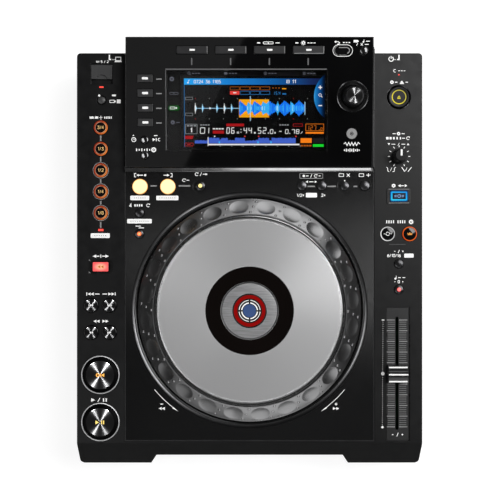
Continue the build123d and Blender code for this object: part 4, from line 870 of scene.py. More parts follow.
# platter face: satin disc with a fine bright edge, black band and thin light rims
lathe("platter_edge_line", level(0), *JOG, [(79.25, 87.97), (79.6, 88.02), (79.4, 88.06), (78.9, 88.06), (78.8, 87.97)],
      M["silver_trim"], "jog_platter", "platter", n=240)
lathe("platter_bright_rim", level(0), *JOG, [(80.0, 87.9), (80.2, 88.03), (80.6, 88.04), (80.85, 87.95), (80.85, 87.6), (80.1, 87.5)],
      M["jog_ring"], "jog_platter", "platter", n=288, smooth=50)
lathe("platter_black_edge", level(0), *JOG, [(80.87, 87.6), (80.87, 87.96), (81.95, 87.98), (81.95, 87.5)],
      plastic("platter_edge_black", (0.02, 0.02, 0.02), 0.4, spec=0.3), "jog_platter", "platter", n=288, smooth=50)
lathe("platter_fillet", level(0), *JOG, [(81.97, 87.6), (81.97, 87.98), (82.15, 87.98), (82.95, 87.32), (83.07, 87.1), (83.07, 86.6), (82.9, 86.6)],
      M["fillet"], "jog_platter", "platter", n=288, smooth=50)
band = Flat("platter_black_band", level(0), 87.95, 88.06)
band.ring(*JOG, 25.3, 38.6, 180)
band.done(plastic("platter_band_black", (0.0056, 0.0042, 0.0038), 0.5, spec=0.0, wear=0.0, grain=0.05), "jog_platter", "platter")
rim = Flat("platter_band_rim", level(0), 87.95, 88.07)
rim.ring(*JOG, 38.62, 39.15, 180)
rim.done(M["silver_trim"], "jog_platter", "platter")

# fixed centre display
lathe("hub_grey_ring", level(0), *JOG, [(24.1, 87.5), (24.1, 87.72), (23.8, 87.86), (14.8, 87.86), (14.8, 87.5)],
      M["hub_grey"], "root", "jog_display", n=144)
hub = level(88.1)
f = Flat("hub_black_disc", hub, -0.02, 0.03)
f.disc(*JOG, 14.45, 120)
f.done(M["ink_black_and_painted_shade"], "root", "jog_display")
f = Flat("hub_red_ring", hub, -0.02, 0.06)
f.ring(*JOG, 10.75, 13.8, 120)
f.done(M["ink_red"], "root", "jog_display")
f = Flat("hub_white_arcs", hub, -0.02, 0.06)
for q in range(4):
    f.sector(*JOG, 8.85, 9.45, 90 * q + 4.5, 90 * q + 85.5)
    f.sector(*JOG, 6.3, 7.35, 90 * q + 5.5, 90 * q + 84.5)
f.done(M["ink"], "root", "jog_display")
f = Flat("hub_blue_disc", hub, -0.02, 0.06)
f.disc(*JOG, 5.6, 72)
f.done(M["ink_blue"], "root", "jog_display")

# ---------------------------------------------------------------- trims of the deck and the display housing, with painted edge highlights and a painted gap shade
# painted highlight: a lighter line round the deck plate's rim where its edge catches light
f = Flat("deck_edge_line", DECK, -0.02, 0.035)
f.outline(0, (83.7 - 165.0) / 2, 2 * 110.15, 83.7 + 165.0 - 0.1, 0.3, 0.42)
f.done(M["edge"], "root", "casing_black")

verts, faces = [], []
trim = [(72.9, 74.02), (72.9, 76.7), (73.5, 77.3), (77.1, 79.95), (77.5, 80.16), (77.5, 79.9), (74.2, 76.3), (74.0, 74.02)]
for x in (-109.9, 109.9):
    verts += [((x - (0.0 if x < 0 else (z - 74) * 0.28)) * MM, y * MM, z * MM) for y, z in trim]
n = len(trim)
faces.append(tuple(range(n)))
faces.append(tuple(range(2 * n - 1, n - 1, -1)))
for i in range(n):
    j = (i + 1) % n
    faces.append((i, j, n + j, n + i))
finish_mesh("display_front_trim", verts, faces, M["trim"], "root", 25)

# rings round the two big keys
for label, (cx, cy) in (("cue", CUE), ("play", PLAY)):
    lathe(f"{label}_trim_ring", DECK, cx, cy, [(16.05, 0.6), (16.07, 1.0), (16.25, 1.25), (16.7, 1.3), (16.95, 1.1), (17.05, 0.7), (17.05, 0.3), (16.6, 0.3)],
          M["silver_trim"], "root", "key_silver", n=144)

# painted highlight: a lighter strip on the face's right edge where it catches light
f = Flat("display_side_edge", FACE, -0.02, 0.05)
f.rect(107.85, 49.0, 0.85, 111.0)
f.done(plastic("display_side_edge", (0.016, 0.016, 0.0165), 0.3, spec=0.3), "root", "display_black")
# painted shade: a black strip on the deck where the gap beside the housing lies in shade
f = Flat("display_side_gap", DECK, -0.02, 0.05)
f.rect(110.5, 129.0, 0.8, 106.0)
f.done(M["ink_black_and_painted_shade"], "root", "display_black")

# ---------------------------------------------------------------- key caps
ROUND = {  # body: (x, y, radius, rise, finish)
    "four_beat_button": (*FOUR_BEAT, 3.8, 1.4, "key_dark_metal"), "slip_button": (*SLIP, 3.8, 1.4, "key_dark_metal"),
    "reloop_button": (*RELOOP, 4.2, 1.4, "key_dark_metal"), "call_back_button": (*CALL_BACK, 4.1, 1.8, "key_silver"),
    "call_forward_button": (*CALL_FORWARD, 4.1, 1.8, "key_silver"), "delete_button": (*DELETE, 3.9, 0.6, "key_silver"),
    "memory_button": (*MEMORY, 4.2, 1.8, "key_silver"), "tempo_range_button": (*TEMPO_RANGE, 3.9, 1.4, "key_dark_metal"),
    "master_tempo_button": (*MASTER_TEMPO, 3.9, 1.4, "key_dark_metal"), "usb_stop_button": (*USB_STOP, 3.4, 0.6, "usb_cap"),
}
for body, (cx, cy, r, rise, kind) in ROUND.items():
    lathe(f"{body}_cap", DECK, cx, cy, dome_profile(r - 0.35, rise, 0.75), M[kind], body, "key_silver", n=48, smooth=40)
for body, (cx, cv, r) in {"tag_button": (99.4, 101.4, 3.75), "time_mode_button": (-91.9, 24.1, 3.4), "quantize_button": (-92.0, 10.6, 3.4)}.items():
    R = (r - 0.25) / math.sin(math.radians(50.0))
    rows = [((R * math.sin(math.radians(a)), 0.98 + R * (math.cos(math.radians(a)) - math.cos(math.radians(50.0))))) for a in range(50, 0, -5)]
    lathe(f"{body}_cap", FACE, cx, cv, [(0, 0.95), (r - 0.25, 0.95)] + rows + [(0, 0.98 + R * (1 - math.cos(math.radians(50.0))))], M["key_chrome"], body, "key_black", n=60, smooth=60)

for i, by in enumerate(BEAT_Y, start=1):
    body = f"beat_button_{i}"
    lathe(f"beat_ring_{i}", DECK, LEFT_X, by, [(6.01, 0.3), (6.01, 1.15), (5.85, 1.42), (5.65, 1.5), (5.4, 1.48), (5.3, 1.36), (5.3, 0.3)],
          M["ring_lit"], body, "key_lit_orange", n=64)
    lathe(f"beat_inner_ring_{i}", DECK, LEFT_X, by, [(5.05, 0.3), (5.05, 1.5), (4.95, 1.58), (4.65, 1.58), (4.52, 1.5), (4.52, 0.3)],
          M["ring_pale"], body, "key_lit_orange", n=64)
    lathe(f"beat_gap_ring_{i}", DECK, LEFT_X, by, [(5.32, 0.3), (5.32, 1.38), (5.04, 1.38), (5.04, 0.3)], M["ink_black_and_painted_shade"], body, "key_black", n=64)
    lathe(f"beat_cap_{i}", DECK, LEFT_X, by, [(0, 1.3), (4.5, 1.3), (4.5, 1.44), (3.6, 1.52), (2.0, 1.56), (0, 1.58)], M["key_gloss"], body, "key_black", n=48)
    f = Flat(f"beat_number_{i}", DECK, 1.5, 1.62)
    f.text(LEFT_X, by, ["3/4", "1/3", "1/2", "1/4", "1/8"][i - 1], 2.5, 0.42)
    f.done(M["num_cream"], body, "key_lit_orange")

for body, (kx, ky) in SEARCH.items():
    lathe(f"{body}_spun", DECK, kx, ky, [(0, 1.45), (5.55, 1.45), (5.55, 1.53), (5.4, 1.58), (0, 1.58)], M["spun_small"], body, "key_silver", n=72, smooth=8)
    f = Flat(f"{body}_sign", DECK, 1.56, 1.68)
    way = "left" if "back" in body else "right"
    s = -1 if way == "left" else 1
    f.tri(kx - 0.9 * s, ky, 1.7, 1.9, way)
    f.tri(kx + 0.8 * s, ky, 1.7, 1.9, way)
    if "track" in body:
        f.rect(kx + 1.9 * s, ky, 0.45, 1.9)
    f.done(M["ink"], body, "key_silver")

for label, (cx, cy) in (("cue", CUE), ("play", PLAY)):
    lathe(f"{label}_spun", DECK, cx, cy, [(0, 2.85), (12.45, 2.85), (12.45, 2.95), (12.2, 3.02), (0, 3.02)], M["spun"], f"{label}_button", "key_silver", n=144, smooth=8)
f = Flat("play_sign", DECK, 3.0, 3.14)
f.tri(PLAY[0] - 2.5, PLAY[1], 2.9, 3.4)
f.rect(PLAY[0] + 1.5, PLAY[1], 0.85, 3.2)
f.rect(PLAY[0] + 3.2, PLAY[1], 0.85, 3.2)
f.done(M["glyph_yellow"], "play_button", "key_lit_orange")
f = Flat("cue_sign", DECK, 3.0, 3.14)
f.ring(CUE[0] - 2.0, CUE[1], 0.85, 1.65, 32)
f.tri(CUE[0] + 2.4, CUE[1], 2.6, 3.2, "left")
f.rect(CUE[0] + 0.6, CUE[1], 0.8, 3.2)
f.done(M["glyph_orange"], "cue_button", "key_lit_orange")

for body, (cx, cy) in (("loop_in_button", LOOP_IN), ("loop_out_button", LOOP_OUT)):
    lathe(f"{body}_cap", DECK, cx, cy, [(0, 1.6), (6.91, 0.2), (6.91, 1.25), (6.7, 1.7), (6.3, 1.88), (4.0, 2.0), (0, 2.06)], M["cream_cap"], body, "key_cream", n=96)

# eject key
lathe("eject_black_rim", DECK, *EJECT, [(6.45, 0.9), (6.45, 1.46), (6.7, 1.56), (8.6, 1.56), (9.05, 1.3), (9.15, 0.9)], M["eject_rim"], "eject_button", "key_black", n=96)
f = Flat("eject_ring", DECK, 1.45, 1.62)
f.ring(*EJECT, 5.62, 6.42, 96)
f.done(M["glyph_eject"], "eject_button", "key_lit_orange")
f = Flat("eject_sign", DECK, 1.05, 1.25)
f.tri(EJECT[0], EJECT[1] + 0.5, 2.9, 1.9, "up")
f.rect(EJECT[0], EJECT[1] - 1.25, 2.9, 0.75)
f.done(M["glyph_eject"], "eject_button", "key_lit_orange")
lathe("eject_well_ring", DECK, *EJECT, [(9.4, -0.82), (9.4, -0.4), (9.75, -0.15), (10.45, -0.15), (10.68, -0.4), (10.68, -0.82)], M["gloss_ring"], "root", "key_black", n=96, smooth=60)

# jog-mode key: lit frame round a dark pane
f = Flat("jog_mode_surround", DECK, 0.88, 0.97)
f.band(rounded_points(*JOG_MODE, 16.2, 10.2, 1.0), rounded_points(*JOG_MODE, 20.9, 13.1, 1.2), True)
f.done(M["ink_black_and_painted_shade"], "root", "key_black")
f = Flat("jog_mode_lit_rim", DECK, 1.55, 1.9)
f.outline(*JOG_MODE, 15.5, 9.3, 1.3, 1.0)
f.done(M["deep_blue"], "jog_mode_button", "key_blue")
f = Flat("jog_mode_lit_frame", DECK, 1.6, 1.98)
f.outline(*JOG_MODE, 14.1, 7.9, 0.9, 1.15)
f.done(M["cyan"], "jog_mode_button", "key_blue")
f = Flat("jog_mode_pane", DECK, 1.6, 1.95)
f.rounded(*JOG_MODE, 11.9, 5.7, 0.3)
f.done(plastic("jog_mode_pane", (0.002, 0.006, 0.022), 0.2), "jog_mode_button", "key_blue")
f = Flat("jog_mode_sign", DECK, 1.9, 2.02)
f.ring(JOG_MODE[0], JOG_MODE[1], 1.1, 1.5, 32)
f.rect(JOG_MODE[0], JOG_MODE[1], 0.5, 0.5)
for s in (-1, 1):
    f.rect(JOG_MODE[0] + 3.2 * s, JOG_MODE[1] + 0.6, 2.0, 0.45)
    f.rect(JOG_MODE[0] + 3.2 * s, JOG_MODE[1] - 0.6, 2.0, 0.45)
f.done(lit("jog_mode_sign", (0.25, 0.42, 0.75), 0.8), "jog_mode_button", "key_blue")
# painted highlight: pale bars where the top and bottom edges of the key's black surround catch light
f = Flat("jog_mode_edges", DECK, 0.96, 1.02)
f.rect(JOG_MODE[0], JOG_MODE[1] + 6.1, 18.0, 0.8)
f.rect(JOG_MODE[0], JOG_MODE[1] - 6.1, 18.0, 0.8)
f.done(plastic("pale_edge_print", (0.16, 0.16, 0.162), 0.4, wear=0.0, grain=0.05), "root", "key_grey")

# sync and master keys
for body, (cx, cy), kind in (("sync_button", SYNC, "ring_white"), ("master_button", MASTER, "ring_orange")):
    lathe(f"{body}_ring", DECK, cx, cy, [(6.41, 0.3), (6.41, 1.25), (6.25, 1.52), (6.0, 1.6), (5.7, 1.58), (5.5, 1.42), (5.5, 0.3)], M[kind], body, "key_silver", n=72)
    lathe(f"{body}_cap", DECK, cx, cy, dome_profile(5.48, 1.4, 0.5), M["key_gloss"], body, "key_black", n=60, smooth=40)
f = Flat("sync_sign", DECK, 1.84, 1.97)
f.line(arc(SYNC[0], SYNC[1], 1.55, 20, 160, 12), 0.42)
f.line(arc(SYNC[0], SYNC[1], 1.55, 200, 340, 12), 0.42)
f.tri(SYNC[0] + 1.6, SYNC[1] + 0.2, 1.2, 1.0, "down")
f.tri(SYNC[0] - 1.6, SYNC[1] - 0.2, 1.2, 1.0, "up")
f.rect(SYNC[0] - 3.0, SYNC[1], 0.9, 0.45)
f.rect(SYNC[0] + 3.0, SYNC[1], 0.9, 0.45)
f.done(M["ink"], "sync_button", "key_silver")
f = Flat("master_sign", DECK, 1.84, 1.97)
f.poly([(MASTER[0] - 1.9, MASTER[1] - 1.0), (MASTER[0] + 1.9, MASTER[1] - 1.0), (MASTER[0] + 2.2, MASTER[1] + 1.1), (MASTER[0] + 1.0, MASTER[1] + 0.1),
        (MASTER[0], MASTER[1] + 1.5), (MASTER[0] - 1.0, MASTER[1] + 0.1), (MASTER[0] - 2.2, MASTER[1] + 1.1)])
f.done(lit("master_sign", (0.75, 0.28, 0.03), 0.8), "master_button", "key_lit_orange")

# direction key with its dark frame
f = Flat("direction_frame", DECK, -0.02, 0.06)
f.band(rounded_points(LEFT_X, -11.0, 15.2, 9.6, 0.9), rounded_points(LEFT_X, -11.0, 21.0, 12.4, 0.6), True)
f.done(M["ink_black_and_painted_shade"], "root", "key_black")
f = Flat("direction_corner_ticks", DECK, 0.05, 0.1)
for py in (260.3, 272.6):
    x, y = deck_at(89.6, py)
    f.line([(x - 0.6, y + 0.5), (x + 0.7, y - 0.6)], 0.55)
f.done(M["ink_grey_and_painted_highlight"], "root")
f = Flat("direction_lit_cap", DECK, 1.75, 1.95)
f.rounded(LEFT_X, -11.0, 13.7, 8.1, 0.7)
f.done(M["direction"], "direction_button", "key_red")
f = Flat("direction_sign", DECK, 1.9, 2.02)
f.tri(LEFT_X - 1.4, -11.0, 2.6, 2.9, "left")
f.tri(LEFT_X + 1.4, -11.0, 2.6, 2.9, "left")
f.done(lit("direction_sign", (0.55, 0.17, 0.04), 0.7), "direction_button", "key_red")

# small lamps
f = Flat("usb_lamp", DECK, -0.02, 0.12)
f.rounded(-131.2, 148.05, 3.9, 1.25, 0.4)
f.done(M["red_led"], "root", "key_red")
f = Flat("slip_loop_lamp", DECK, -0.02, 0.12)
f.rounded(LEFT_X, 21.5, 4.6, 1.9, 0.3)
f.done(M["red_led"], "root", "key_red")
lathe("standby_lamp", DECK, 132.2, 159.0, [(0, -0.05), (0.65, -0.05), (0.65, 0.1), (0.42, 0.3), (0, 0.38)], M["red_led"], "root", "key_red", n=32)
lathe("slip_lamp", DECK, *SLIP, [(0, 1.9), (1.95, 1.9), (1.95, 2.15), (1.2, 2.3), (0, 2.34)], M["orange_led"], "slip_button", "key_lit_orange", n=40)
lathe("reloop_lamp", DECK, RELOOP[0] - 0.1, RELOOP[1] + 0.2, [(0, 1.9), (1.7, 1.9), (1.7, 2.15), (1.0, 2.3), (0, 2.34)], M["yellow_led"], "reloop_button", "key_lit_orange", n=40)
lathe("master_tempo_lamp", DECK, *MASTER_TEMPO, [(0, 1.9), (1.8, 1.9), (1.8, 2.15), (1.1, 2.3), (0, 2.34)], M["pink_led"], "master_tempo_button", "key_red", n=40)

# ---------------------------------------------------------------- selector and speed knob
SEL_TOP = 19.2
lathe("selector_spun_top", FACE, *SELECTOR, [(0, SEL_TOP - 0.08), (6.5, SEL_TOP - 0.08), (6.5, SEL_TOP + 0.03), (6.42, SEL_TOP + 0.045), (0, SEL_TOP + 0.045)],
      M["spun_knob"], "selector_knob", "knob_black", n=72, smooth=5)
lathe("selector_top_rim", FACE, *SELECTOR, [(6.98, SEL_TOP - 0.01), (7.74, SEL_TOP - 0.77), (7.76, SEL_TOP - 1.1), (7.5, SEL_TOP - 1.1), (6.9, SEL_TOP - 0.2)],
      M["key_dark_metal"], "selector_knob", "knob_black", n=72, smooth=30)
lathe("selector_ring_gloss", FACE, *SELECTOR, [(10.0, 0.75), (10.0, 0.86), (10.35, 1.02), (13.0, 1.02), (13.55, 0.86), (13.82, 0.55), (13.82, 0.05), (13.2, 0.05)],
      plastic("selector_ring", (0.075, 0.075, 0.077), 0.26, metallic=1.0), "root", "display_black", n=120, smooth=60)
f = Flat("speed_pointer", level(88.9), -0.05, 0.06)
f.rect(VINYL[0], VINYL[1] + 2.1, 1.6, 5.4)
f.done(M["ink"], "vinyl_speed_knob", "knob_black")

# ---------------------------------------------------------------- tempo slider
f = Flat("slider_plate", level(73.0), -0.02, 0.16)
BED_X, BED_Y, BED_W, BED_H = 131.6, -106.0, 20.6, 118.2
left, right = SLIDER[0] - 1.35, SLIDER[0] + 1.35
top, bottom = SLIDER[1] + 50.3, SLIDER[1] - 50.3
f.rect((BED_X - BED_W / 2 + left) / 2, BED_Y, left - BED_X + BED_W / 2, BED_H)
f.rect((BED_X + BED_W / 2 - 1.2 + right) / 2, BED_Y, BED_X + BED_W / 2 - 1.2 - right, BED_H)
f.rect((left + right) / 2, (top + BED_Y + BED_H / 2) / 2, right - left, BED_Y + BED_H / 2 - top)
f.rect((left + right) / 2, (bottom + BED_Y - BED_H / 2) / 2, right - left, bottom - BED_Y + BED_H / 2)
f.done(M["slider_plate"], "root", "slider")
long_lines = Flat("slider_scale_long", level(73.0), 0.14, 0.22)
short_lines = Flat("slider_scale_short", level(73.0), 0.14, 0.22)
SCALE_Y = [(YC) for YC in ()]
STEP = (426.9 - 320.0) / 10 * 0.8854
TOP_Y = deck_at(0, 320.0, 73.2)[1]
for i in range(11):
    y = TOP_Y - i * STEP
    for x0, x1 in ((BED_X - 10.0, left - 0.5), (right + 0.5, BED_X + 8.2)):
        long_lines.rect((x0 + x1) / 2, y, x1 - x0, 0.78)
        if i < 10:
            for k in range(1, 5):
                a, b = (x0 + 0.9, x1) if x0 < SLIDER[0] else (x0, x1 - 0.9)
                short_lines.rect((a + b) / 2, y - k * STEP / 5, b - a, 0.62)
long_lines.done(M["ink_grey_and_painted_highlight"], "root", "slider")
short_lines.done(plastic("scale_print", (0.17, 0.17, 0.172), 0.45, wear=0.0, grain=0.05), "root", "slider")
f = Flat("slider_plate_signs", level(73.0), 0.14, 0.22)
SX, SY = deck_at(397.5, 434.6, 73.2)
f.text(SX, SY, "- / +", 3.0, 0.6)
f.done(M["ink"], "root", "slider")
f = Flat("slider_cap_lines", lambda u, v, w: (u * MM, v * MM, w * MM), 0, 0)


def cap_line(name, y, half, z0, z1, mat_, hx=8.45):
    """Line moulded across the slider cap, a shallow bar."""
    v, fc = [], []
    for x in (SLIDER[0] - hx, SLIDER[0] + hx):
        v += [(x * MM, (SLIDER[1] + y - half) * MM, z0 * MM), (x * MM, (SLIDER[1] + y + half) * MM, z0 * MM),
              (x * MM, (SLIDER[1] + y + half) * MM, z1 * MM), (x * MM, (SLIDER[1] + y - half) * MM, z1 * MM)]
    fc = [(0, 1, 2, 3), (7, 6, 5, 4), (0, 4, 5, 1), (1, 5, 6, 2), (2, 6, 7, 3), (3, 7, 4, 0)]
    return finish_mesh(name, v, fc, mat_, "tempo_slider")


cap_line("slider_line_middle", 0.0, 0.62, 82.6, 83.46, M["ink"])
cap_line("slider_line_rear", 6.2, 0.62, 81.2, 82.06, M["ink"], 8.15)
cap_line("slider_line_front", -6.2, 0.62, 81.2, 82.06, M["ink"], 8.15)
# painted shadow: black band round the slider bed, wider at its right, where the recess lies in shade
f = Flat("slider_bed_outline", DECK, -0.6, -0.3)
f.band(rounded_points(BED_X, BED_Y, BED_W - 0.6, BED_H - 0.6, 0.3), rounded_points(BED_X + 0.35, BED_Y, BED_W + 1.5, BED_H + 1.2, 0.3), True)
f.done(M["ink_black_and_painted_shade"], "root", "slider")

# dotted scale beside the slider
f = Flat("slider_side_scale", DECK, -0.02, 0.05)
x, y = deck_at(383.0, 320.0)
f.rect(x, y, 2.3, 0.62)
for i in range(1, 50):
    py = 320.0 + 2.13 * i
    if abs(py - 373.7) < 1.9 or py > 424.5:
        continue
    x, y = deck_at(383.0 - 0.7 * i / 50, py)
    f.rect(x, y, 0.46, 0.42)
x, y = deck_at(382.8, 373.7)
f.ring(x, y, 0.85, 1.45, 32)
f.disc(x, y, 0.5, 16)
x, y = deck_at(382.4, 427.1)
f.poly([(x - 1.2, y), (x, y - 1.3), (x + 1.2, y), (x, y + 1.3)])
f.done(M["ink"], "root")

# ---------------------------------------------------------------- printed signs
w = Flat("deck_signs", DECK, -0.02, 0.05)
g = Flat("deck_lines", DECK, -0.02, 0.045)


def at(px, py):
    return deck_at(px, py)


def pxl(n):
    return n * 0.8854


# left strip, top: lead to the rear port, computer, supply sign
x, y = at(109.4, 57.2)
w.line([(x, y + 2.2), (x, y - 2.0), (x + 1.6, y - 2.0)], 1.15)
for k in range(3):
    w.rect(x + 3.0 + 1.0 * k, y - 2.2, 0.6, 0.6)
x, y = at(118.2, 59.3)
w.outline(x, y + 0.35, 5.2, 3.7, 0.6, 0.62)
w.poly([(x - 3.2, y - 2.5), (x + 3.2, y - 2.5), (x + 2.9, y - 1.35), (x - 2.9, y - 1.35)])
x, y = at(102.0, 61.7)
w.rect(x - 3.8, y + 0.35, 3.0, 0.55)
for k in range(3):
    w.rect(x - 4.8 + k, y - 0.6, 0.6, 0.5)
w.text(x + 2.4, y, "5 / 2", 1.9, 0.4)
# stop key
x, y = at(99.2, 95.6)
w.disc(x, y, 0.95, 20)
x, y = at(114.0, 95.4)
w.rounded(x, y, 3.6, 1.5, 0.4)
x, y = at(112.4, 101.4)
w.outline(x - 0.3, y, 4.4, 2.6, 0.4, 0.5)
w.rect(x + 2.4, y, 1.0, 1.6)
w.rect(x + 5.6, y, 3.3, 3.3)
# divided beats
x, y = at(100.9, 117.6)
for k, (dx, ww) in enumerate(((-8.2, 3.6), (-3.9, 3.0))):
    w.rect(x + dx, y, ww, 1.9)
w.rect(x + 0.0, y, 2.6, 0.5)
w.disc(x + 0.0, y + 1.15, 0.42, 12)
w.disc(x + 0.0, y - 1.15, 0.42, 12)
for k in range(5):
    w.rect(x + 3.4 + 1.45 * k, y, 0.8, 1.9)
# connectors between the beat keys, outer rings and blank plate
for y0, y1 in ((135.4, 141.2), (156.9, 161.6), (179.1, 183.0), (200.8, 204.6), (222.1, 228.0)):
    a, b = at(100.7, y0), at(100.7, y1)
    g.rect(a[0], (a[1] + b[1]) / 2, 1.25, a[1] - b[1])
for by in BEAT_Y[2:]:
    g.ring(LEFT_X, by, 6.62, 7.12, 72)
x0, y0 = at(90.7, 233.0)
x1, y1 = at(109.8, 238.2)
w.rounded((x0 + x1) / 2, (y0 + y1) / 2, x1 - x0, y0 - y1 - 0.4, 0.8)
slip_plate = ((x0 + x1) / 2, (y0 + y1) / 2)
# direction
x, y = at(100.8, 256.2)
w.tri(x - 5.6, y, 3.2, 2.9, "left")
w.rect(x - 2.6, y, 2.6, 0.8)
w.rect(x + 2.6, y, 2.6, 0.8)
w.tri(x + 5.6, y, 3.2, 2.9, "right")
w.rect(x, y, 0.8, 2.9)
# track search
x, y = at(101.0, 294.0)
for s in (-1, 1):
    w.rect(x + 12.6 * s, y, 0.8, 2.7)
    w.tri(x + 10.6 * s, y, 2.7, 2.7, "left" if s < 0 else "right")
    w.tri(x + 7.8 * s, y, 2.7, 2.7, "left" if s < 0 else "right")
    w.rect(x + 3.4 * s, y, 4.2, 0.75)
# search
x, y = at(101.0, 321.2)
for s in (-1, 1):
    w.tri(x + 5.4 * s, y, 2.7, 2.7, "left" if s < 0 else "right")
    w.tri(x + 2.6 * s, y, 2.7, 2.7, "left" if s < 0 else "right")
# play / pause
x, y = at(100.6, 400.0)
w.tri(x - 6.6, y, 3.4, 3.1, "right")
w.line([(x - 2.6, y - 1.8), (x - 0.6, y + 1.8)], 0.6)
w.rect(x + 2.6, y, 1.0, 3.0)
w.rect(x + 5.0, y, 1.0, 3.0)

# deck, left: loop keys
x, y = at(140.0, 175.2)
w.line([(x - 3.4, y + 1.5), (x - 4.8, y + 1.5), (x - 4.8, y - 1.5), (x - 3.4, y - 1.5)], 0.65)
w.rect(x + 0.6, y, 4.2, 0.75)
w.tri(x - 2.1, y, 2.1, 2.4, "left")
w.disc(x + 4.6, y, 1.05, 18)
x, y = at(167.9, 175.2)
w.line([(x + 2.2, y + 1.5), (x + 3.7, y + 1.5), (x + 3.7, y - 1.5), (x + 2.2, y - 1.5)], 0.65)
w.rect(x - 2.2, y, 3.2, 0.75)
w.tri(x + 0.4, y, 2.1, 2.4, "right")


def loop_sign(f, x, y, r, width):
    f.line(arc(x, y, r, 40, 320, 20), width)
    f.tri(x + r * math.cos(math.radians(40)) + 0.1, y + r * math.sin(math.radians(40)) - 0.1, width * 2.6, width * 2.4, "down")


x, y = at(201.0, 174.2)
loop_sign(w, x - 3.8, y, 1.35, 0.55)
w.line([(x - 0.8, y - 1.6), (x + 0.6, y + 1.6)], 0.5)
w.rect(x + 3.0, y, 2.6, 0.7)
w.tri(x + 5.0, y, 1.9, 2.2, "right")
x, y = at(184.0, 180.2)
loop_sign(w, x, y, 1.25, 0.5)
w.rect(x + 3.4, y, 2.4, 0.6)
for a0, a1, py in ((150.5, 156.6, 185.9), (178.6, 190.3, 185.9)):
    p, q = at(a0, py), at(a1, py)
    g.rect((p[0] + q[0]) / 2, p[1], q[0] - p[0], 1.25)
plate_marks = Flat("label_plate_marks", DECK, 0.04, 0.075)
for a0, a1, b0, b1 in ((130.3, 149.2, 195.7, 200.2), (156.3, 178.4, 195.7, 200.2), (127.2, 151.8, 218.9, 223.4)):
    p, q = at(a0, b0), at(a1, b1)
    w.rounded((p[0] + q[0]) / 2, (p[1] + q[1]) / 2, q[0] - p[0], p[1] - q[1], 0.8)
    cells = round((q[0] - p[0] - 5.0) / 1.9)
    for k in range(cells):
        plate_marks.rect((p[0] + q[0]) / 2 + 1.9 * (k - (cells - 1) / 2), (p[1] + q[1]) / 2, 1.1, 0.95)
x, y = at(140.0, 205.4)
w.text(x - 8.4, y, "4", 2.9, 0.62)
for k in range(4):
    w.rect(x - 4.4 + 2.0 * k, y, 1.2, 2.0)
loop_sign(w, x + 7.2, y, 1.35, 0.55)
x, y = at(139.8, 227.0)
w.rect(x - 1.4, y + 0.8, 4.6, 0.7)
w.rect(x + 1.4, y - 0.8, 4.6, 0.7)
# deck, right: call, delete, memory
p, q = at(299.5, 173.1), at(323.0, 178.7)
cx, cy = (p[0] + q[0]) / 2, (p[1] + q[1]) / 2
g.outline(cx, cy, q[0] - p[0], p[1] - q[1], 1.0, 0.55)
w.disc(cx - 6.6, cy, 1.1, 18)
w.rect(cx - 3.6, cy, 2.4, 0.65)
w.line([(cx - 0.6, cy - 1.5), (cx + 0.6, cy + 1.5)], 0.5)
loop_sign(w, cx + 4.0, cy, 1.25, 0.5)
w.rect(cx + 7.4, cy, 1.8, 0.65)
x, y = at(311.3, 181.8)
w.tri(x - 4.0, y, 2.0, 2.2, "left")
w.rect(x, y, 4.0, 0.65)
w.tri(x + 4.0, y, 2.0, 2.2, "right")
for a0, a1 in ((307.5, 314.9), (327.5, 335.9), (353.5, 357.3)):
    p, q = at(a0, 186.4), at(a1, 186.4)
    g.rect((p[0] + q[0]) / 2, p[1], q[0] - p[0], 1.2)
x, y = at(300.4, 195.3)
w.text(x, y, "1/2x", 2.3, 0.45)
x, y = at(323.4, 195.3)
w.text(x, y, "2x", 2.3, 0.45)
p, q = at(305.9, 192.9), at(317.0, 197.4)
w.rounded((p[0] + q[0]) / 2, (p[1] + q[1]) / 2, q[0] - p[0], p[1] - q[1], 0.7)
x, y = at(344.2, 175.1)
w.outline(x - 2.6, y, 4.6, 3.0, 0.5, 0.5)
w.line([(x + 2.2, y - 1.4), (x + 5.0, y + 1.4)], 0.62)
w.line([(x + 2.2, y + 1.4), (x + 5.0, y - 1.4)], 0.62)
x, y = at(365.0, 175.1)
w.outline(x - 3.2, y, 4.6, 3.0, 0.5, 0.5)
w.rect(x + 3.0, y, 3.8, 0.7)
w.rect(x + 3.0, y, 0.7, 3.2)
x, y = at(344.9, 180.3)
w.disc(x - 0.2, y - 0.4, 0.6, 12)
# jog direction arcs
for s in (-1, 1):
    pts = []
    for i in range(15):
        t = i / 14
        a = math.radians(-140.0 + 13.6 * t) if s < 0 else math.radians(-40.0 - 13.6 * t)
        pts.append((JOG[0] + 109.8 * math.cos(a), JOG[1] + 109.8 * math.sin(a)))
    w.line(pts, 0.5)
    a, b = Vector(pts[-1]), Vector(pts[-3])
    d = (a - b).normalized()
    nrm = Vector((-d.y, d.x))
    if nrm.y < 0:
        nrm = -nrm
    tip = a + d * 2.4
    w.poly([tuple(tip), tuple(a - d * 3.0 + nrm * 0.45), tuple(a - d * 3.6 - nrm * 0.95)][::1])
x, y = at(161.8, 405.2)
w.tri(x - 1.5, y - 2.9, 2.6, 2.6, "left")
w.tri(x + 1.4, y - 2.9, 2.6, 2.6, "left")
w.rect(x, y + 1.0, 2.4, 0.7)
x, y = at(336.0, 405.2)
w.tri(x - 1.4, y - 2.9, 2.6, 2.6, "right")
w.tri(x + 1.5, y - 2.9, 2.6, 2.6, "right")
w.rect(x, y + 1.0, 2.4, 0.7)
w.rect(x, y + 1.0, 0.7, 2.4)

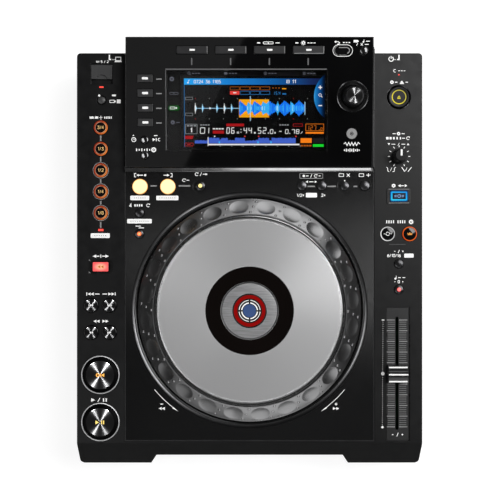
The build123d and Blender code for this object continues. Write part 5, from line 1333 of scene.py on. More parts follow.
# right strip
x, y = at(391.1, 59.0)
w.line(arc(x, y, 2.0, 120, 420, 26), 0.75)
w.rect(x, y + 1.5, 0.75, 2.4)
x, y = at(399.0, 57.2)
w.line([(x, y + 2.2), (x, y - 2.0), (x - 1.6, y - 2.0)], 1.15)
for k in range(3):
    w.rect(x - 2.8 - 1.0 * k, y - 2.2, 0.6, 0.6)
x, y = at(398.8, 70.8)
w.line(arc(x - 3.4, y, 1.2, 60, 300, 16), 0.5)
for k in range(3):
    w.rect(x + 0.2 + 2.4 * k, y, 1.5, 0.6)
x, y = at(398.9, 82.2)
w.ring(x - 6.2, y, 0.55, 1.6, 28)
w.rect(x - 2.4, y, 2.2, 0.7)
w.tri(x + 2.6, y + 0.4, 3.4, 2.0, "up")
w.rect(x + 2.6, y - 1.25, 3.4, 0.7)
w.rect(x + 7.0, y, 2.2, 0.7)
x, y = at(398.6, 133.7)
w.ring(x, y, 0.5, 1.55, 28)
w.rect(x - 4.0, y, 2.8, 0.7)
w.rect(x + 4.0, y, 2.8, 0.7)
x, y = at(398.6, 138.2)
for k, ww in enumerate((2.2, 1.8, 1.5, 1.2, 1.0)):
    w.rect(x - 10.0 + 2.9 * k, y, ww, 2.2)
w.rect(x + 4.4, y, 2.6, 0.7)
loop_sign(w, x + 8.4, y, 1.3, 0.55)
x, y = at(398.6, 144.2)
w.tri(x - 8.6, y, 2.4, 1.9, "down")
w.rect(x - 4.6, y, 3.4, 0.6)
w.line([(x - 0.6, y - 1.2), (x + 0.6, y + 1.2)], 0.45)
w.rect(x + 4.2, y, 3.4, 0.6)
w.tri(x + 8.4, y, 2.4, 1.9, "up")
for k in range(11):
    a = math.radians(240 - 30 * k)
    r0, r1 = 8.1, 9.9
    w.line([(VINYL[0] + r0 * math.cos(a), VINYL[1] + r0 * math.sin(a)), (VINYL[0] + r1 * math.cos(a), VINYL[1] + r1 * math.sin(a))], 0.62)
x, y = at(391.0, 169.4)
w.line([(x - 4.0, y + 2.0), (x - 3.0, y + 1.2), (x - 2.8, y - 1.4), (x - 1.6, y - 2.1)], 0.62)
w.line([(x - 0.6, y - 1.4), (x + 0.8, y + 1.6)], 0.45)
w.line([(x + 1.4, y - 2.1), (x + 2.9, y - 1.6), (x + 3.1, y + 1.2), (x + 4.3, y + 2.0)], 0.62)
x, y = at(406.6, 169.4)
w.line([(x - 4.4, y + 2.0), (x - 1.6, y - 2.0)], 0.62)
w.line([(x - 1.0, y - 1.4), (x + 0.4, y + 1.6)], 0.45)
w.line([(x + 1.2, y - 2.0), (x + 4.4, y + 2.0)], 0.62)
x, y = at(398.8, 185.7)
w.ring(x - 4.6, y, 0.55, 1.65, 28)
w.tri(x + 0.4, y, 2.4, 2.6, "left")
w.rect(x + 3.2, y, 2.6, 0.7)
w.tri(x + 6.4, y, 2.4, 2.6, "right")
x, y = at(396.2, 221.8)
for dx, hh in ((-8.4, 2.6), (-6.4, 2.6), (-4.4, 2.6), (-2.4, 2.6), (1.6, 2.6), (3.6, 2.6), (5.6, 2.6), (7.6, 2.6)):
    w.rect(x + dx, y, 0.95, hh)
x, y = at(411.1, 221.9)
w.ring(x, y, 1.05, 2.0, 32)
w.rect(x, y, 1.0, 1.0)
p, q = at(389.0, 244.4), at(405.5, 244.4)
f = Flat("sync_rule", DECK, -0.02, 0.04)
f.rect((p[0] + q[0]) / 2, p[1], q[0] - p[0], 0.5)
f.done(M["ink_dim"], "root")
x, y = at(398.8, 251.3)
w.text(x, y, "- / +", 2.5, 0.62)
x, y = at(394.2, 255.6)
w.text(x - 0.2, y, "6/10/16", 2.3, 0.5)
p, q = at(404.2, 253.6), at(413.6, 257.6)
w.rounded((p[0] + q[0]) / 2, (p[1] + q[1]) / 2, q[0] - p[0], p[1] - q[1], 0.7)
x, y = at(398.8, 277.6)
w.disc(x - 3.0, y - 0.9, 0.9, 16)
w.rect(x - 2.3, y + 0.4, 0.5, 2.6)
w.rect(x + 0.6, y, 2.4, 0.7)
w.rect(x + 4.4, y, 2.4, 0.7)
x, y = at(398.8, 281.7)
w.text(x, y, "- 0 +", 2.3, 0.52)
w.done(M["ink"], "root")
g.done(M["ink_grey_and_painted_highlight"], "root")
for k in range(6):
    plate_marks.rect(slip_plate[0] - 4.75 + 1.9 * k, slip_plate[1], 1.1, 0.95)
plate_marks.done(plastic("plate_mark_print", (0.50, 0.50, 0.50), 0.45, wear=0.0, grain=0.05), "root")

# ---------------------------------------------------------------- display face: signs, frame lines, key bars
w = Flat("face_signs", FACE, -0.01, 0.05)
g = Flat("face_lines", FACE, -0.01, 0.045)


def ft(px, py, h=0.0):
    return face_at(px, py, h)


for px in (191.7, 230.6, 269.4, 308.2):
    a, b = ft(px, 58.1), ft(px, 64.9)
    g.rect(a[0], (a[1] + b[1]) / 2, 1.15, a[1] - b[1])
ticks = Flat("face_ticks", FACE, -0.01, 0.045)
for py in (79.1, 93.6, 108.3, 123.0):
    a, b = ft(156.2, py), ft(161.7, py)
    ticks.rect((a[0] + b[0]) / 2, a[1], b[0] - a[0], 0.95)
ticks.done(M["ink_grey_and_painted_highlight"], "root")
x, v = ft(261.2, 42.9)
w.rect(x - 2.2, v, 2.6, 1.0)
for k in range(2):
    w.outline(x + 4.0 + 4.2 * k, v, 5.0, 2.3, 1.1, 0.5)
w.rect(x + 14.2, v, 3.6, 0.7)
x, v = ft(299.2, 42.9)
w.rect(x - 2.0, v, 2.6, 1.0)
w.ring(x + 3.6, v, 0.6, 1.35, 24)
for k in range(8):
    a = math.radians(45 * k)
    w.rect(x + 3.6 + 1.75 * math.cos(a), v + 1.75 * math.sin(a), 0.55, 0.55)
for k in range(3):
    w.rect(x + 8.0 + 2.6 * k, v, 1.8, 0.7)
# back and tag
x, v = ft(342.6, 51.0)
w.outline(80.95, 101.3, 17.5, 10.3, 5.15, 0.44)
x, v = ft(337.6, 42.8)
w.line([(x - 1.6, v + 0.9), (x + 0.6, v + 0.9), (x + 1.6, v + 0.1), (x + 1.2, v - 1.1), (x - 0.4, v - 1.2)], 0.6)
w.tri(x - 2.2, v + 0.9, 1.8, 2.0, "left")
for k in range(3):
    w.rect(x + 5.4 + 2.4 * k, v + 0.2, 1.5, 0.8)
x, v = ft(361.5, 41.2)
w.poly([(x - 6.8, v - 1.0), (x - 3.4, v - 1.0), (x - 2.2, v), (x - 3.4, v + 1.0), (x - 6.8, v + 1.0)])
w.disc(x + 1.6, v - 0.6, 0.7, 12)
w.rect(x + 2.15, v + 0.5, 0.42, 2.0)
w.rect(x + 5.6, v, 3.2, 0.65)
x, v = ft(361.5, 44.4)
w.line([(x - 4.4, v - 1.0), (x - 3.2, v + 1.0)], 0.5)
w.line([(x - 0.6, v - 0.9), (x + 1.2, v + 0.9)], 0.5)
w.line([(x - 0.6, v + 0.9), (x + 1.2, v - 0.9)], 0.5)
w.rect(x + 4.6, v, 3.4, 0.6)
# time mode, auto cue and quantise
x, v = ft(133.8, 139.6)
w.ring(x, v, 1.5, 2.1, 32)
w.line([(x, v + 1.1), (x, v), (x + 0.9, v)], 0.5)
w.disc(x - 0.4, v + 3.6, 0.5, 12)
x, v = ft(155.8, 139.6)
w.tri(x - 1.6, v, 2.4, 2.8, "right")
w.rect(x + 0.4, v, 0.7, 2.8)
w.line(arc(x + 3.2, v, 1.2, 60, 300, 14), 0.5)
w.rect(x, v + 3.5, 3.0, 0.7)
x, v = ft(143.0, 149.8)
for k in range(6):
    w.rect(x - 5.6 + 2.3 * k, v, 0.9, 2.4 if k % 2 == 0 else 1.5)
x, v = ft(153.7, 149.8)
w.ring(x, v, 1.15, 2.15, 32)
w.rect(x, v, 0.9, 0.9)
# generic disc and file pictures right of the window
x, v = ft(351.8, 133.6)
dim = Flat("face_signs_grey", FACE, -0.01, 0.05)
dim.ring(x, v, 1.6, 4.6, 48)
dim.ring(x, v, 0.7, 1.1, 24)
dim.done(M["ink_grey_and_painted_highlight"], "root")
x, v = ft(351.8, 144.0)
pts = [(-7, 0), (-5.6, 1.5), (-4.2, -1.5), (-2.8, 1.5), (-1.4, -1.5), (0, 1.5), (1.4, -1.5), (2.8, 1.5), (4.2, -1.5), (5.6, 1.5), (7, 0)]
w.line([(x + a, v + b * 0.9) for a, b in pts], 0.6)
x, v = ft(351.8, 150.2)
for k in range(9):
    w.rect(x - 6.4 + 1.6 * k, v, 0.85, [1.4, 2.6, 1.8, 3.0, 2.2, 3.0, 1.6, 2.4, 1.2][k])
# frame lines round the screen: painted highlights on the top and left walls of the screen's recess, where they catch
# light
a, b, c = ft(165.4, 69.2), ft(326.7, 69.2), ft(165.2, 150.0)
g.rect((a[0] + b[0]) / 2, a[1], b[0] - a[0], 0.95)
g.rect(a[0] + 0.2, (a[1] + c[1]) / 2, 0.5, a[1] - c[1])
w.done(M["ink"], "root")
g.done(plastic("frame_print", (0.13, 0.13, 0.133), 0.4, wear=0.0, grain=0.05), "root")

for body, kx in MENU_X.items():
    f = Flat(f"{body}_bar", FACE, 1.45, 1.58)
    f.rounded(kx + 0.1, MENU_V, 4.7, 1.6, 0.4)
    f.done(M["ink"], body, "key_black")
    # painted highlight: a grey line at each key's right end, and under the menu key, where its edge catches light
    e = Flat(f"{body}_edge", FACE, 1.3, 1.53)
    e.rect(kx + 13.0, MENU_V, 0.45, 6.0)
    if body == "menu_key":
        e.rect(kx, MENU_V - 3.0, 25.6, 0.5)
    e.done(M["ink_grey_and_painted_highlight"], body, "key_black")
for i, kv in enumerate(SOURCE_V, start=1):
    f = Flat(f"source_bar_{i}", FACE, 1.25, 1.38)
    f.rounded(SOURCE_X + 0.1, kv, 5.2, 2.0, 0.6)
    f.done(M["ink"], f"source_key_{i}", "key_grey")
f = Flat("back_key_line", FACE, 0.95, 1.06)
f.line(arc(80.95 + 3.2, 101.3, 2.5, -80, 90, 14) + [(80.95 - 3.4, 103.8)], 0.7)
f.line(arc(80.95 - 3.2, 101.3, 4.05, 110, 250, 16), 0.4)
f.line([(80.95 - 3.0, 97.35), (80.95 + 3.4, 97.35)], 0.4)
f.done(M["ink_grey_and_painted_highlight"], "back_button", "key_black")


# ---------------------------------------------------------------- lit screen under the window
LCD_W = -1.75


def lcd_plane(u, v, w):
    return FACE(u, v, LCD_W + w)


def L(px, py):
    return face_at(px, py, LCD_W)


screen = {k: Flat(f"screen_{k}", lcd_plane, 0.0, 0.06 + 0.012 * i) for i, k in enumerate(
    ("black", "dusk", "slate", "line", "orange", "amber", "ember", "blue", "sky", "rust", "red", "bright_red", "leaf", "green", "grey", "dim", "pale", "white"))}


def box(kind, x0, y0, x1, y1):
    p, q = L(x0, y0), L(x1, y1)
    screen[kind].rect((p[0] + q[0]) / 2, (p[1] + q[1]) / 2, abs(q[0] - p[0]), abs(p[1] - q[1]))


def frame_box(kind, x0, y0, x1, y1, width=0.35, r=0.6):
    p, q = L(x0, y0), L(x1, y1)
    screen[kind].outline((p[0] + q[0]) / 2, (p[1] + q[1]) / 2, abs(q[0] - p[0]), abs(p[1] - q[1]), r, width)


# header
p, q = L(184.0, 78.5), L(325.0, 84.7)
head = Flat("screen_header", lcd_plane, 0.0, 0.05)
head.rect((p[0] + q[0]) / 2, (p[1] + q[1]) / 2, q[0] - p[0], p[1] - q[1])
n = Nodes("screen_header_blue")
sep = n.add("ShaderNodeSeparateXYZ")
n.link(n.coords("Generated"), sep.inputs[0])
n.link(n.ramp(sep.outputs[0], [(0.0, (0.018, 0.36, 0.85)), (0.35, (0.012, 0.20, 0.60)), (0.65, (0.006, 0.10, 0.34)), (0.9, (0.008, 0.022, 0.10)), (1.0, (0.006, 0.010, 0.05))]),
       n.p.inputs["Emission Color"])
n.p.inputs["Emission Strength"].default_value = 1.0
n.p.inputs["Base Color"].default_value = (0, 0, 0, 1)
n.p.inputs["Specular IOR Level"].default_value = 0.0
head.done(n.m, "root", "lcd")
x, v = L(188.2, 81.8)
s = screen["white"]
s.disc(x - 0.3, v - 0.8, 0.7, 12)
s.rect(x + 0.3, v + 0.4, 0.35, 2.4)
s.rect(x + 0.9, v + 1.4, 1.2, 0.4)
s.text(L(194.0, 81.7)[0], v + 0.1, "0724 36 1185", 2.5, 0.42, anchor="left")
x, v = L(288.0, 81.6)
s.outline(x, v, 2.8, 2.8, 0.3, 0.45)
s.line([(x - 0.7, v - 0.5), (x, v + 0.4), (x + 0.8, v + 0.2)], 0.4)
s.text(L(294.0, 81.6)[0], v, "11", 2.7, 0.5)
box("line", 184.0, 84.7, 184.9, 147.0)
# meters
for k in range(4):
    frame_box("rust", 230.0 + 10.1 * k, 86.7, 239.6 + 10.1 * k, 90.1, 0.32, 0.5)
    if k:
        frame_box("line", 230.0 + 10.1 * k, 91.0, 239.6 + 10.1 * k, 94.7, 0.34, 0.5)
box("bright_red", 230.0, 91.0, 239.4, 94.7)
box("white", 233.2, 92.3, 236.4, 93.3)
for k in range(3):
    box("rust", 272.4 + 3.0 * k, 87.6, 273.6 + 3.0 * k, 88.4)
box("orange", 282.0, 88.2, 286.2, 89.2)
x, v = L(273.0, 94.9)
screen["line"].segments(x, v, "15.4", 2.9, 0.42)
box("line", 282.4, 93.3, 286.2, 94.6)

# beat marks above and below the wave
for k in range(9):
    px = 195.4 + 14.0 * k
    for py in (98.6, 118.8):
        x, v = L(px, py)
        screen["red" if k in (0, 7) else "grey"].rect(x, v, 0.55, 0.75)
# wave: short peaks, a looped stretch and a full stretch
wave_rng = random.Random(4)
for px, amp, kind in ((195.4, 7.4, "white"), (202.6, 5.6, "pale"), (210.0, 1.6, "white"), (217.0, 5.8, "pale"), (224.4, 7.0, "white"), (231.6, 5.6, "pale")):
    for k in range(8):
        t = k / 7
        x, v = L(px - 0.5 + 2.6 * t, 108.3)
        tall = 0.55 if k == 0 else (1 - t) ** 2.2
        screen[kind if k < 3 else ("pale" if kind == "white" else "sky")].rect(x, v, 0.36, 2 * amp * 0.85 * tall * (1.0 if k else 0.6) + 0.35)
x0, v0 = L(195.4, 108.3)
x1, _ = L(239.0, 108.3)
screen["pale"].rect((x0 + x1) / 2, v0, x1 - x0, 0.4)
box("orange", 239.0, 99.4, 269.0, 117.4)


def swell(px0, px1, amp0, amp1, kind, power=1.0):
    """A stretch of the wave as fine upright bars, brighter at the core."""
    n_ = max(2, round((px1 - px0) / 0.42))
    for i in range(n_):
        t = (i + 0.5) / n_
        a = (amp0 + (amp1 - amp0) * t ** power) * 0.85 * wave_rng.uniform(0.86, 1.04)
        x_, v_ = L(px0 + (px1 - px0) * t, 108.3)
        wd = (px1 - px0) / n_ * 0.8854 + 0.02
        screen[kind].rect(x_, v_, wd, 2 * a)
        if wave_rng.random() < (0.45 if kind == "blue" else 0.25):
            screen["sky" if kind == "blue" else "pale"].rect(x_, v_, wd * 0.9, 2 * a * wave_rng.uniform(0.3, 0.75))


swell(239.2, 240.6, 7.2, 8.0, "blue")
swell(240.6, 246.5, 8.0, 2.2, "blue", 0.8)
swell(246.5, 248.4, 2.2, 7.0, "sky")
swell(248.4, 252.4, 6.4, 3.2, "sky")
swell(252.4, 254.6, 4.0, 8.0, "blue")
swell(254.6, 261.5, 8.0, 2.6, "blue", 0.9)
swell(261.5, 263.2, 4.0, 7.2, "sky")
swell(263.2, 266.6, 6.2, 4.6, "sky")
swell(266.6, 269.2, 5.0, 8.0, "sky")
swell(269.2, 276.2, 8.0, 3.2, "blue", 0.9)
swell(276.2, 278.0, 3.2, 7.2, "sky")
swell(278.0, 279.2, 6.0, 3.2, "sky")
swell(279.2, 284.6, 3.0, 8.0, "blue")
swell(284.6, 290.4, 8.0, 3.4, "blue")
swell(290.4, 292.0, 6.6, 6.0, "sky")
swell(292.0, 294.6, 5.4, 3.2, "sky")
swell(294.6, 299.0, 3.6, 8.0, "blue")
swell(299.0, 304.4, 8.0, 3.0, "blue")
swell(304.6, 305.2, 6.6, 6.6, "pale")
box("pale", 250.0, 96.2, 250.55, 121.0)
# key-lock and zoom lens at the right
c = L(341.0, 96.3)
e0 = L(325.2, 96.3)
r_l = c[0] - L(314.0, 96.3)[0]
half_a = math.degrees(math.acos((c[0] - e0[0]) / r_l))
pts = arc(c[0], c[1], r_l, 180 - half_a, 180 + half_a, 28)
lens = Flat("screen_lens", lcd_plane, 0.0, 0.07)
lens.poly(pts)
n = Nodes("screen_lens_blue")
sep = n.add("ShaderNodeSeparateXYZ")
n.link(n.coords("Generated"), sep.inputs[0])
n.link(n.ramp(sep.outputs[0], [(0.0, (0.06, 0.40, 0.80)), (0.12, (0.012, 0.20, 0.52)), (0.45, (0.004, 0.075, 0.27)), (0.8, (0.001, 0.010, 0.04)), (1.0, (0.001, 0.0012, 0.0014))]), n.p.inputs["Emission Color"])
n.p.inputs["Emission Strength"].default_value = 1.0
n.p.inputs["Base Color"].default_value = (0, 0, 0, 1)
n.p.inputs["Specular IOR Level"].default_value = 0.0
lens.done(n.m, "root", "lcd")
x, v = L(320.2, 87.4)
screen["white"].rect(x, v, 3.2, 0.85)
screen["white"].rect(x, v, 0.85, 3.2)
x, v = L(320.2, 105.6)
screen["white"].rect(x, v, 3.2, 0.85)
x, v = L(320.0, 95.0)
screen["white"].ring(x, v, 0.9, 1.35, 20)
screen["white"].line([(x + 1.0, v - 1.0), (x + 2.0, v - 2.0)], 0.45)
# left-hand tabs of the wave
for py in (98.4, 114.4):
    frame_box("grey", 185.4, py - 1.4, 192.8, py + 1.5, 0.28, 0.3)
# counters
frame_box("grey", 185.2, 124.0, 197.4, 134.0, 0.4, 0.5)
for k in range(3):
    box("grey", 186.8 + 3.4 * k, 125.2, 189.4 + 3.4 * k, 126.4)
x, v = L(191.2, 130.4)
screen["white"].text(x, v, "1", 3.3, 0.9)


def count(px, py, text_, h, width, ratio, kind="white"):
    x_, v_ = L(px, py)
    screen[kind].segments(x_, v_, text_, h, width, w_ratio=ratio)


count(199.9, 133.7, "0", 5.5, 0.6, 0.8)
count(207.4, 133.7, "1", 5.5, 0.6, 0.25)
for k in range(4):
    box("grey", 200.2 + 2.5 * k, 124.4, 202.1 + 2.5 * k, 125.5)
for k in range(4):
    box("white", 212.8 + 2.9 * k, 128.2, 215.0 + 2.9 * k, 129.4)
box("red", 212.8, 130.6, 224.0, 133.6)
box("red", 226.3, 123.6, 244.0, 126.3)
for k in range(5):
    box("black", 228.0 + 3.2 * k, 124.5, 230.2 + 3.2 * k, 125.4)
for k in range(3):
    box("black", 214.2 + 3.1 * k, 131.6, 216.4 + 3.1 * k, 132.6)
count(226.3, 133.7, "06", 5.5, 0.6, 0.52)
box("white", 237.0, 131.6, 237.6, 133.6)
box("white", 238.3, 131.6, 238.9, 133.6)
box("white", 240.6, 129.0, 241.4, 129.8)
box("white", 240.6, 131.8, 241.4, 132.6)
count(243.4, 133.7, "44", 5.5, 0.6, 0.54)
box("white", 254.0, 132.0, 255.6, 133.6)
count(257.6, 133.7, "52", 5.5, 0.6, 0.56)
box("white", 267.9, 132.6, 268.8, 133.6)
count(269.8, 133.9, "0", 4.0, 0.5, 0.72)
box("white", 274.4, 132.0, 275.6, 133.6)
box("white", 279.2, 131.0, 281.6, 131.7)
count(285.0, 133.9, "0", 4.0, 0.5, 0.72)
box("white", 289.4, 133.0, 290.1, 133.8)
count(291.4, 133.9, "78", 4.0, 0.5, 0.72)
x, v = L(301.6, 132.6)
screen["white"].line([(x - 0.8, v - 0.9), (x + 0.8, v + 0.9)], 0.4)
for k in range(4):
    box("grey", 279.4 + 2.5 * k, 124.4, 281.2 + 2.5 * k, 125.5)
frame_box("red", 293.0, 123.6, 302.6, 126.5, 0.35, 0.4)
frame_box("amber", 305.6, 123.8, 323.8, 131.0, 0.3, 0.4)
count(306.6, 130.2, "127", 4.1, 0.34, 0.5, "ember")
box("ember", 318.9, 129.6, 319.6, 130.3)
count(320.4, 130.3, "0", 2.4, 0.34, 0.7, "ember")
box("amber", 305.6, 132.0, 323.8, 133.7)
# overview of the whole track
p0, p1 = L(184.8, 135.8), L(193.6, 139.0)
screen["red"].poly([(p0[0], p1[1]), (p1[0] - 0.9, p1[1]), (p1[0], p0[1]), (p0[0], p0[1])])
frame_box("red", 184.8, 142.8, 193.4, 146.2, 0.45, 0.5)
box("red", 187.2, 144.0, 190.6, 145.0)
blocks = [(194.8, 208.0, 140.2), (208.6, 219.4, 137.7), (219.4, 221.2, 139.4), (221.2, 227.8, 137.7), (227.8, 235.0, 140.0), (235.0, 244.8, 137.7),
          (244.8, 255.8, 140.4), (255.8, 258.4, 139.6), (258.4, 269.0, 137.8), (269.0, 271.6, 140.2), (271.6, 295.6, 137.8)]
for x0, x1, top_y in blocks:
    step_n = max(1, round((x1 - x0) / 0.9))
    for k in range(step_n):
        a_, b_ = x0 + (x1 - x0) * k / step_n, x0 + (x1 - x0) * (k + 1) / step_n
        box("slate", a_, top_y + wave_rng.uniform(-0.15, 0.55), b_ + 0.02, 143.4)
for px in (218.6, 257.2, 270.2):
    box("sky", px, 141.4, px + 1.6, 143.4)
box("white", 208.6, 143.8, 299.4, 145.2)
box("amber", 209.2, 144.5, 214.2, 145.3)
box("white", 207.7, 137.0, 208.5, 146.0)
for k in range(8):
    box("grey", 220.0 + 11.4 * k, 145.6, 220.8 + 11.4 * k, 146.6)
for px, kind in ((214.0, "white"), (244.2, "bright_red"), (258.0, "bright_red"), (295.2, "bright_red")):
    box(kind, px, 135.8, px + 1.3, 136.9)
box("amber", 300.6, 138.2, 311.6, 142.9)
box("black", 305.2, 139.6, 307.0, 141.6)
for k in range(4):
    box("rust", 300.8 + 2.8 * k, 144.9, 302.9 + 2.8 * k, 146.4)
box("dusk", 312.9, 138.2, 323.6, 142.9)
box("green", 312.9, 144.2, 323.6, 146.8)
box("leaf", 316.2, 144.8, 317.2, 146.3)
box("leaf", 319.2, 144.8, 320.2, 146.3)
# dim labels round the picture
for px, kind in ((192.4, "find"), (229.3, "tag"), (268.8, "info"), (307.6, "list")):
    x, v = L(px, 73.4)
    d = screen["dim"]
    if kind == "find":
        d.ring(x - 3.0, v + 0.3, 0.8, 1.25, 20)
        d.line([(x - 2.1, v - 0.7), (x - 1.2, v - 1.6)], 0.5)
    if kind == "tag":
        d.poly([(x - 4.4, v - 1.0), (x - 2.2, v - 1.0), (x - 1.2, v), (x - 2.2, v + 1.0), (x - 4.4, v + 1.0)])
    if kind == "info":
        d.ring(x - 3.0, v, 1.0, 1.35, 20)
        d.rect(x - 3.0, v - 0.25, 0.4, 0.9)
        d.rect(x - 3.0, v + 0.5, 0.4, 0.35)
    if kind == "list":
        for k in range(3):
            d.rect(x - 3.0, v + 0.95 - 0.95 * k, 2.4, 0.42)
    for k in range(3):
        d.rect(x + 0.6 + 2.6 * k, v, 1.8, 0.8)
x, v = L(171.8, 79.0)
screen["dim"].ring(x, v, 0.8, 2.0, 28)
screen["dim"].rect(x, v, 0.7, 0.7)
x, v = L(174.6, 93.4)
for k in range(2):
    screen["dim"].outline(x - 2.4 + 3.6 * k, v, 4.4, 2.2, 1.1, 0.42)
x, v = L(174.6, 122.4)
screen["dim"].ring(x - 1.6, v, 0.5, 1.8, 28)
screen["dim"].rect(x + 3.0, v, 3.0, 0.7)
x, v = L(174.0, 108.0)
screen["leaf"].rounded(x, v, 10.0, 4.6, 2.2)
screen["white"].outline(x - 1.3, v, 4.4, 2.2, 0.4, 0.45)
screen["white"].rect(x + 2.0, v, 1.4, 1.3)
for k, fl in screen.items():
    if fl.v:
        fl.done(SCREEN[k], "root", "lcd")

# ---------------------------------------------------------------- rear jacks: coloured collars, signs
for name, x, kind in (("right", 98, "rca_red"), ("left", 80, "rca_white"), ("digital", 60, "rca_orange")):
    lathe(f"jack_collar_{name}", REAR, x, 42, [(4.2, 0.82), (4.95, 0.82), (4.95, 1.9), (4.6, 2.2), (4.2, 2.2)], M[kind], "root", "board", n=48)
w = Flat("rear_signs", REAR, -0.02, 0.05)
x, v = 125.0, 51.5
w.line(arc(x, v, 1.9, 120, 420, 26), 0.6)
w.rect(x, v + 1.5, 0.6, 2.0)
w.line(arc(98, 52, 1.9, 0, 360, 28), 0.5)
w.line(arc(80, 52, 1.9, 0, 360, 28), 0.5)
w.text(98, 52, "2", 2.2, 0.45)
w.text(80, 52, "1", 2.2, 0.45)
w.text(60, 52, "01", 2.8, 0.5)
w.text(42, 52, "3", 2.4, 0.5)
w.outline(8, 52, 4.6, 3.0, 0.4, 0.5)
w.rect(8, 49.9, 1.2, 0.8)
w.rect(-22, 52, 4.6, 0.55)
w.rect(-22, 52, 0.55, 3.0)
w.text(-108, 57.4, "~", 3.0, 0.55)
w.done(M["ink"], "root")

# ---------------------------------------------------------------- floor and light
floor_mesh = bpy.data.meshes.new("floor")
bm = bmesh.new()
bmesh.ops.create_grid(bm, x_segments=8, y_segments=8, size=6.0)
bm.to_mesh(floor_mesh)
bm.free()
floor = bpy.data.objects.new("floor", floor_mesh)
scene.collection.objects.link(floor)
floor.location.z = -0.0002
n = Nodes("floor_paper")
fine = n.noise(n.coords(), 60.0)
n.link(n.ramp(fine, [(0.3, (0.34, 0.34, 0.34)), (0.7, (0.36, 0.36, 0.36))]), n.p.inputs["Base Color"])
n.p.inputs["Roughness"].default_value = 0.9
n.p.inputs["Emission Color"].default_value = (1, 1, 1, 1)
n.p.inputs["Emission Strength"].default_value = 0.84
floor_mesh.materials.append(n.m)

world = bpy.data.worlds.new("studio")
scene.world = world
world.use_nodes = True
world.node_tree.nodes["Background"].inputs["Color"].default_value = (1, 1, 1, 1)
world.node_tree.nodes["Background"].inputs["Strength"].default_value = 0.032

# Groups of pieces with lamps of their own. The general lamps leave these pieces out.
GROUPS = {
    "caps": [o.name for o in bpy.data.objects if o.name.endswith("_spun")],
    "knob": ["selector_spun_top"],
    "jog": ["jog_ring_surface", "jog_ring_nubs"],
    "fillet": ["platter_fillet"],
    "platter": ["jog_platter", "platter_edge_line", "platter_bright_rim"],
    "crest": ["jog_bezel_crest", "selector_ring_gloss", "eject_well_ring"],
    "domes": ["time_mode_button_cap", "quantize_button_cap"],
    "tag": ["tag_button_cap"],
    "trim": ["display_front_trim"],
    "deck": ["deck_plate"],
}
group = {}
others = bpy.data.collections.new("pieces_with_own_lamps")
others_and_deck = bpy.data.collections.new("pieces_and_deck_with_own_lamps")
for label, names in GROUPS.items():
    group[label] = bpy.data.collections.new(f"lamps_{label}")
    for name in names:
        o = NODES[name] if name in NODES else bpy.data.objects[name]
        group[label].objects.link(o)
        if label != "deck":
            others.objects.link(o)
        others_and_deck.objects.link(o)
for child in list(others.collection_objects) + list(others_and_deck.collection_objects):
    child.light_linking.link_state = "EXCLUDE"
group["not deck"] = others_and_deck
# the lit paper of the floor leaves out the jog ring, the bright ridges and the cover
paper = bpy.data.collections.new("pieces_off_the_paper")
for o in list(group["jog"].objects) + list(group["crest"].objects) + list(group["fillet"].objects) + [NODES["top_cover"]]:
    paper.objects.link(o)
for child in paper.collection_objects:
    child.light_linking.link_state = "EXCLUDE"
floor.light_linking.receiver_collection = paper


def lamp(name, size_x, size_y, radiance, only):
    """Rectangular lamp; radiance is what a mirror would show of it."""
    light = bpy.data.lights.new(name, "AREA")
    light.shape = "RECTANGLE"
    light.size, light.size_y = size_x, size_y
    light.energy = radiance * math.pi * size_x * size_y
    o = bpy.data.objects.new(name, light)
    o.visible_camera = False
    o.light_linking.receiver_collection = group[only] if only else others
    scene.collection.objects.link(o)
    return o


def softbox(name, azimuth, elevation, distance, size_x, size_y, radiance, only=None, aim=(0, 0, 0.08)):
    """Lamp facing the player from a direction."""
    a, e = math.radians(azimuth), math.radians(elevation)
    d = Vector((math.cos(a) * math.cos(e), math.sin(a) * math.cos(e), math.sin(e)))
    o = lamp(name, size_x, size_y, radiance, only)
    o.location = d * distance + Vector(aim)
    o.rotation_mode = "QUATERNION"
    o.rotation_quaternion = d.to_track_quat("Z", "Y")
    return o


def overhead(name, x0, x1, y0, y1, radiance, only, height=1.5):
    """Level lamp above the deck; its sides are given as the places on the deck (mm) that mirror them to the camera."""
    k = 1 + height / 0.9
    o = lamp(name, (x1 - x0) * k * MM, (y1 - y0) * k * MM, radiance, only)
    o.location = (CAM[0] * MM + ((x0 + x1) / 2 - CAM[0]) * k * MM, CAM[1] * MM + ((y0 + y1) / 2 - CAM[1]) * k * MM, DECK_Z * MM + height)
    return o


softbox("key_east", 14, 47, 1.9, 1.0, 0.7, 7.6)
softbox("high_north_east", 38, 63, 2.0, 0.8, 0.6, 7.2, "not deck")
softbox("rear_north_east", 62, 44, 2.1, 0.8, 0.5, 3.6)
softbox("side_west", 190, 44, 2.0, 0.9, 0.6, 2.6)
softbox("front_fill", -72, 50, 2.1, 0.9, 0.5, 1.2)
softbox("front_left", 232, 56, 2.0, 0.8, 0.6, 2.8, "not deck")

softbox("jog_rear_card", 66, 22, 2.3, 1.9, 1.3, 1.15, "jog")
softbox("jog_rear_left_card", 106, 22, 2.3, 0.8, 1.3, 0.42, "jog")
softbox("jog_front_card", 288, 19, 2.3, 2.3, 1.4, 0.72, "jog")
softbox("jog_front_left_card", 242, 19, 2.3, 1.2, 1.4, 0.30, "jog")
softbox("jog_high_north", 78, 53, 2.3, 1.9, 1.6, 0.62, "jog")
softbox("jog_high_south", 280, 53, 2.3, 2.3, 1.6, 0.62, "jog")
softbox("jog_high_east", 0, 52, 2.3, 1.6, 1.7, 0.24, "jog")
softbox("jog_high_west", 190, 52, 2.3, 1.5, 1.7, 0.045, "jog")
softbox("jog_high_north_west", 138, 52, 2.3, 0.9, 1.7, 0.14, "jog")
softbox("jog_high_south_west", 228, 52, 2.3, 0.9, 1.7, 0.17, "jog")

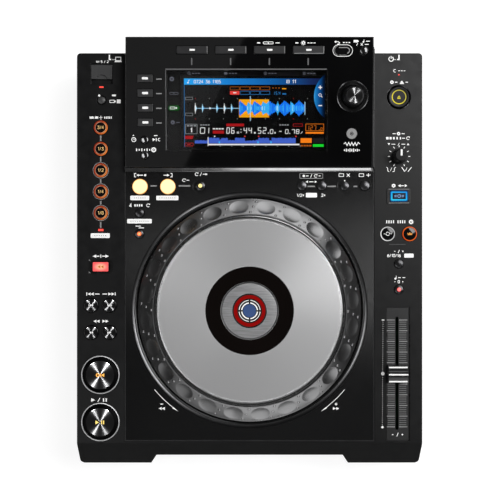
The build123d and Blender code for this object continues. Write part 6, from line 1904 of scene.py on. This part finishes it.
softbox("fillet_card", 64, 20, 2.3, 2.0, 1.3, 2.3, "fillet")
softbox("fillet_front", 290, 20, 2.3, 2.0, 1.3, 0.01, "fillet")

# the platter's own lamps: one near its right side, a weaker one at its rear left
platter_at = (JOG[0] * MM, JOG[1] * MM, 0.088)
softbox("platter_key", 20, 46, 0.42, 0.26, 0.20, 8.8, "platter", platter_at)
softbox("platter_rear_left", 154, 48, 0.55, 0.30, 0.30, 3.65, "platter", platter_at)
softbox("platter_rear_right", 70, 55, 1.2, 0.5, 0.4, 0.65, "platter", platter_at)
softbox("platter_front", 285, 62, 1.2, 0.7, 0.5, 0.7, "platter", platter_at)

softbox("crest_south_west", 210, 40, 2.0, 1.1, 0.9, 12.0, "crest")
softbox("crest_south_east", 336, 40, 2.0, 0.7, 0.9, 8.5, "crest")
softbox("crest_north_west", 122, 40, 2.0, 0.4, 0.9, 10.0, "crest")
softbox("crest_north_east", 55, 40, 2.0, 0.45, 0.9, 5.0, "crest")

mode_at = (-0.092, 0.092, 0.085)
softbox("dome_left", 198, 44, 1.0, 1.9, 1.05, 2.2, "domes", mode_at)
softbox("dome_right", 10, 15, 1.0, 1.5, 0.36, 2.8, "domes", mode_at)
tag_at = (0.0994, 0.176, 0.092)
softbox("tag_right", 14, 42, 1.0, 1.8, 0.95, 2.3, "tag", tag_at)
softbox("tag_left", 205, 14, 1.0, 1.2, 0.3, 1.2, "tag", tag_at)

softbox("trim_card", -79, 22, 2.3, 0.9, 0.60, 1.35, "trim")

overhead("deck_band", -125, 125, -32, 30, 1.0, "deck")
overhead("deck_right", 80, 140, -52, 34, 5.4, "deck")
overhead("deck_front", -125, 125, -195, -132, 0.13, "deck")

keys_at = (-0.132, -0.100, 0.076)
softbox("strip_keys_right", 64.2, 68, 1.8, 0.12, 0.5, 290.0, "caps", keys_at)
softbox("strip_keys_left", 145.1, 58, 1.8, 0.10, 0.5, 215.0, "caps", keys_at)
knob_at = (0.090, 0.136, 0.105)
softbox("strip_knob_rear", 83.6, 65.9, 1.8, 0.10, 0.5, 75.0, "knob", knob_at)
softbox("strip_knob_right", 36, 63.9, 1.8, 0.12, 0.5, 24.0, "knob", knob_at)

# dim card overhead: its straight edge shows in the glossy display face
lamp_face = bpy.data.collections.new("lamps_face")
for o in list(bpy.data.objects):
    if o.type == "MESH" and (o.name.startswith("face_") or o.name in [NODES[k].name for k in ("display_housing", "display_window")]):
        lamp_face.objects.link(o)
card = bpy.data.lights.new("card_overhead", "AREA")
card.shape = "RECTANGLE"
card.size, card.size_y = 1.5, 3.0
card.energy = 0.27 * math.pi * 1.5 * 3.0
card_o = bpy.data.objects.new("card_overhead", card)
card_o.visible_camera = False
card_o.light_linking.receiver_collection = lamp_face
h = 1500.0
tops = []
for px, py in ((244.0, 37.0), (183.0, 170.0)):
    u, v = face_at(px, py)
    p = Vector(FACE(u, v, 0)) / MM
    d = (p - Vector(CAM)).normalized()
    nrm = Vector(FACE_N)
    r = d - 2 * d.dot(nrm) * nrm
    tops.append(p + r * ((h - p.z) / r.z))
edge_mid = (tops[0] + tops[1]) / 2
edge_dir = (tops[0] - tops[1]).normalized()
side = Vector((-edge_dir.y, edge_dir.x, 0)).normalized()
if side.x > 0:
    side = -side
card_o.location = (edge_mid + side * 750.0) * MM
card_o.rotation_euler = (0, 0, math.atan2(edge_dir.y, edge_dir.x) - math.pi / 2)
scene.collection.objects.link(card_o)
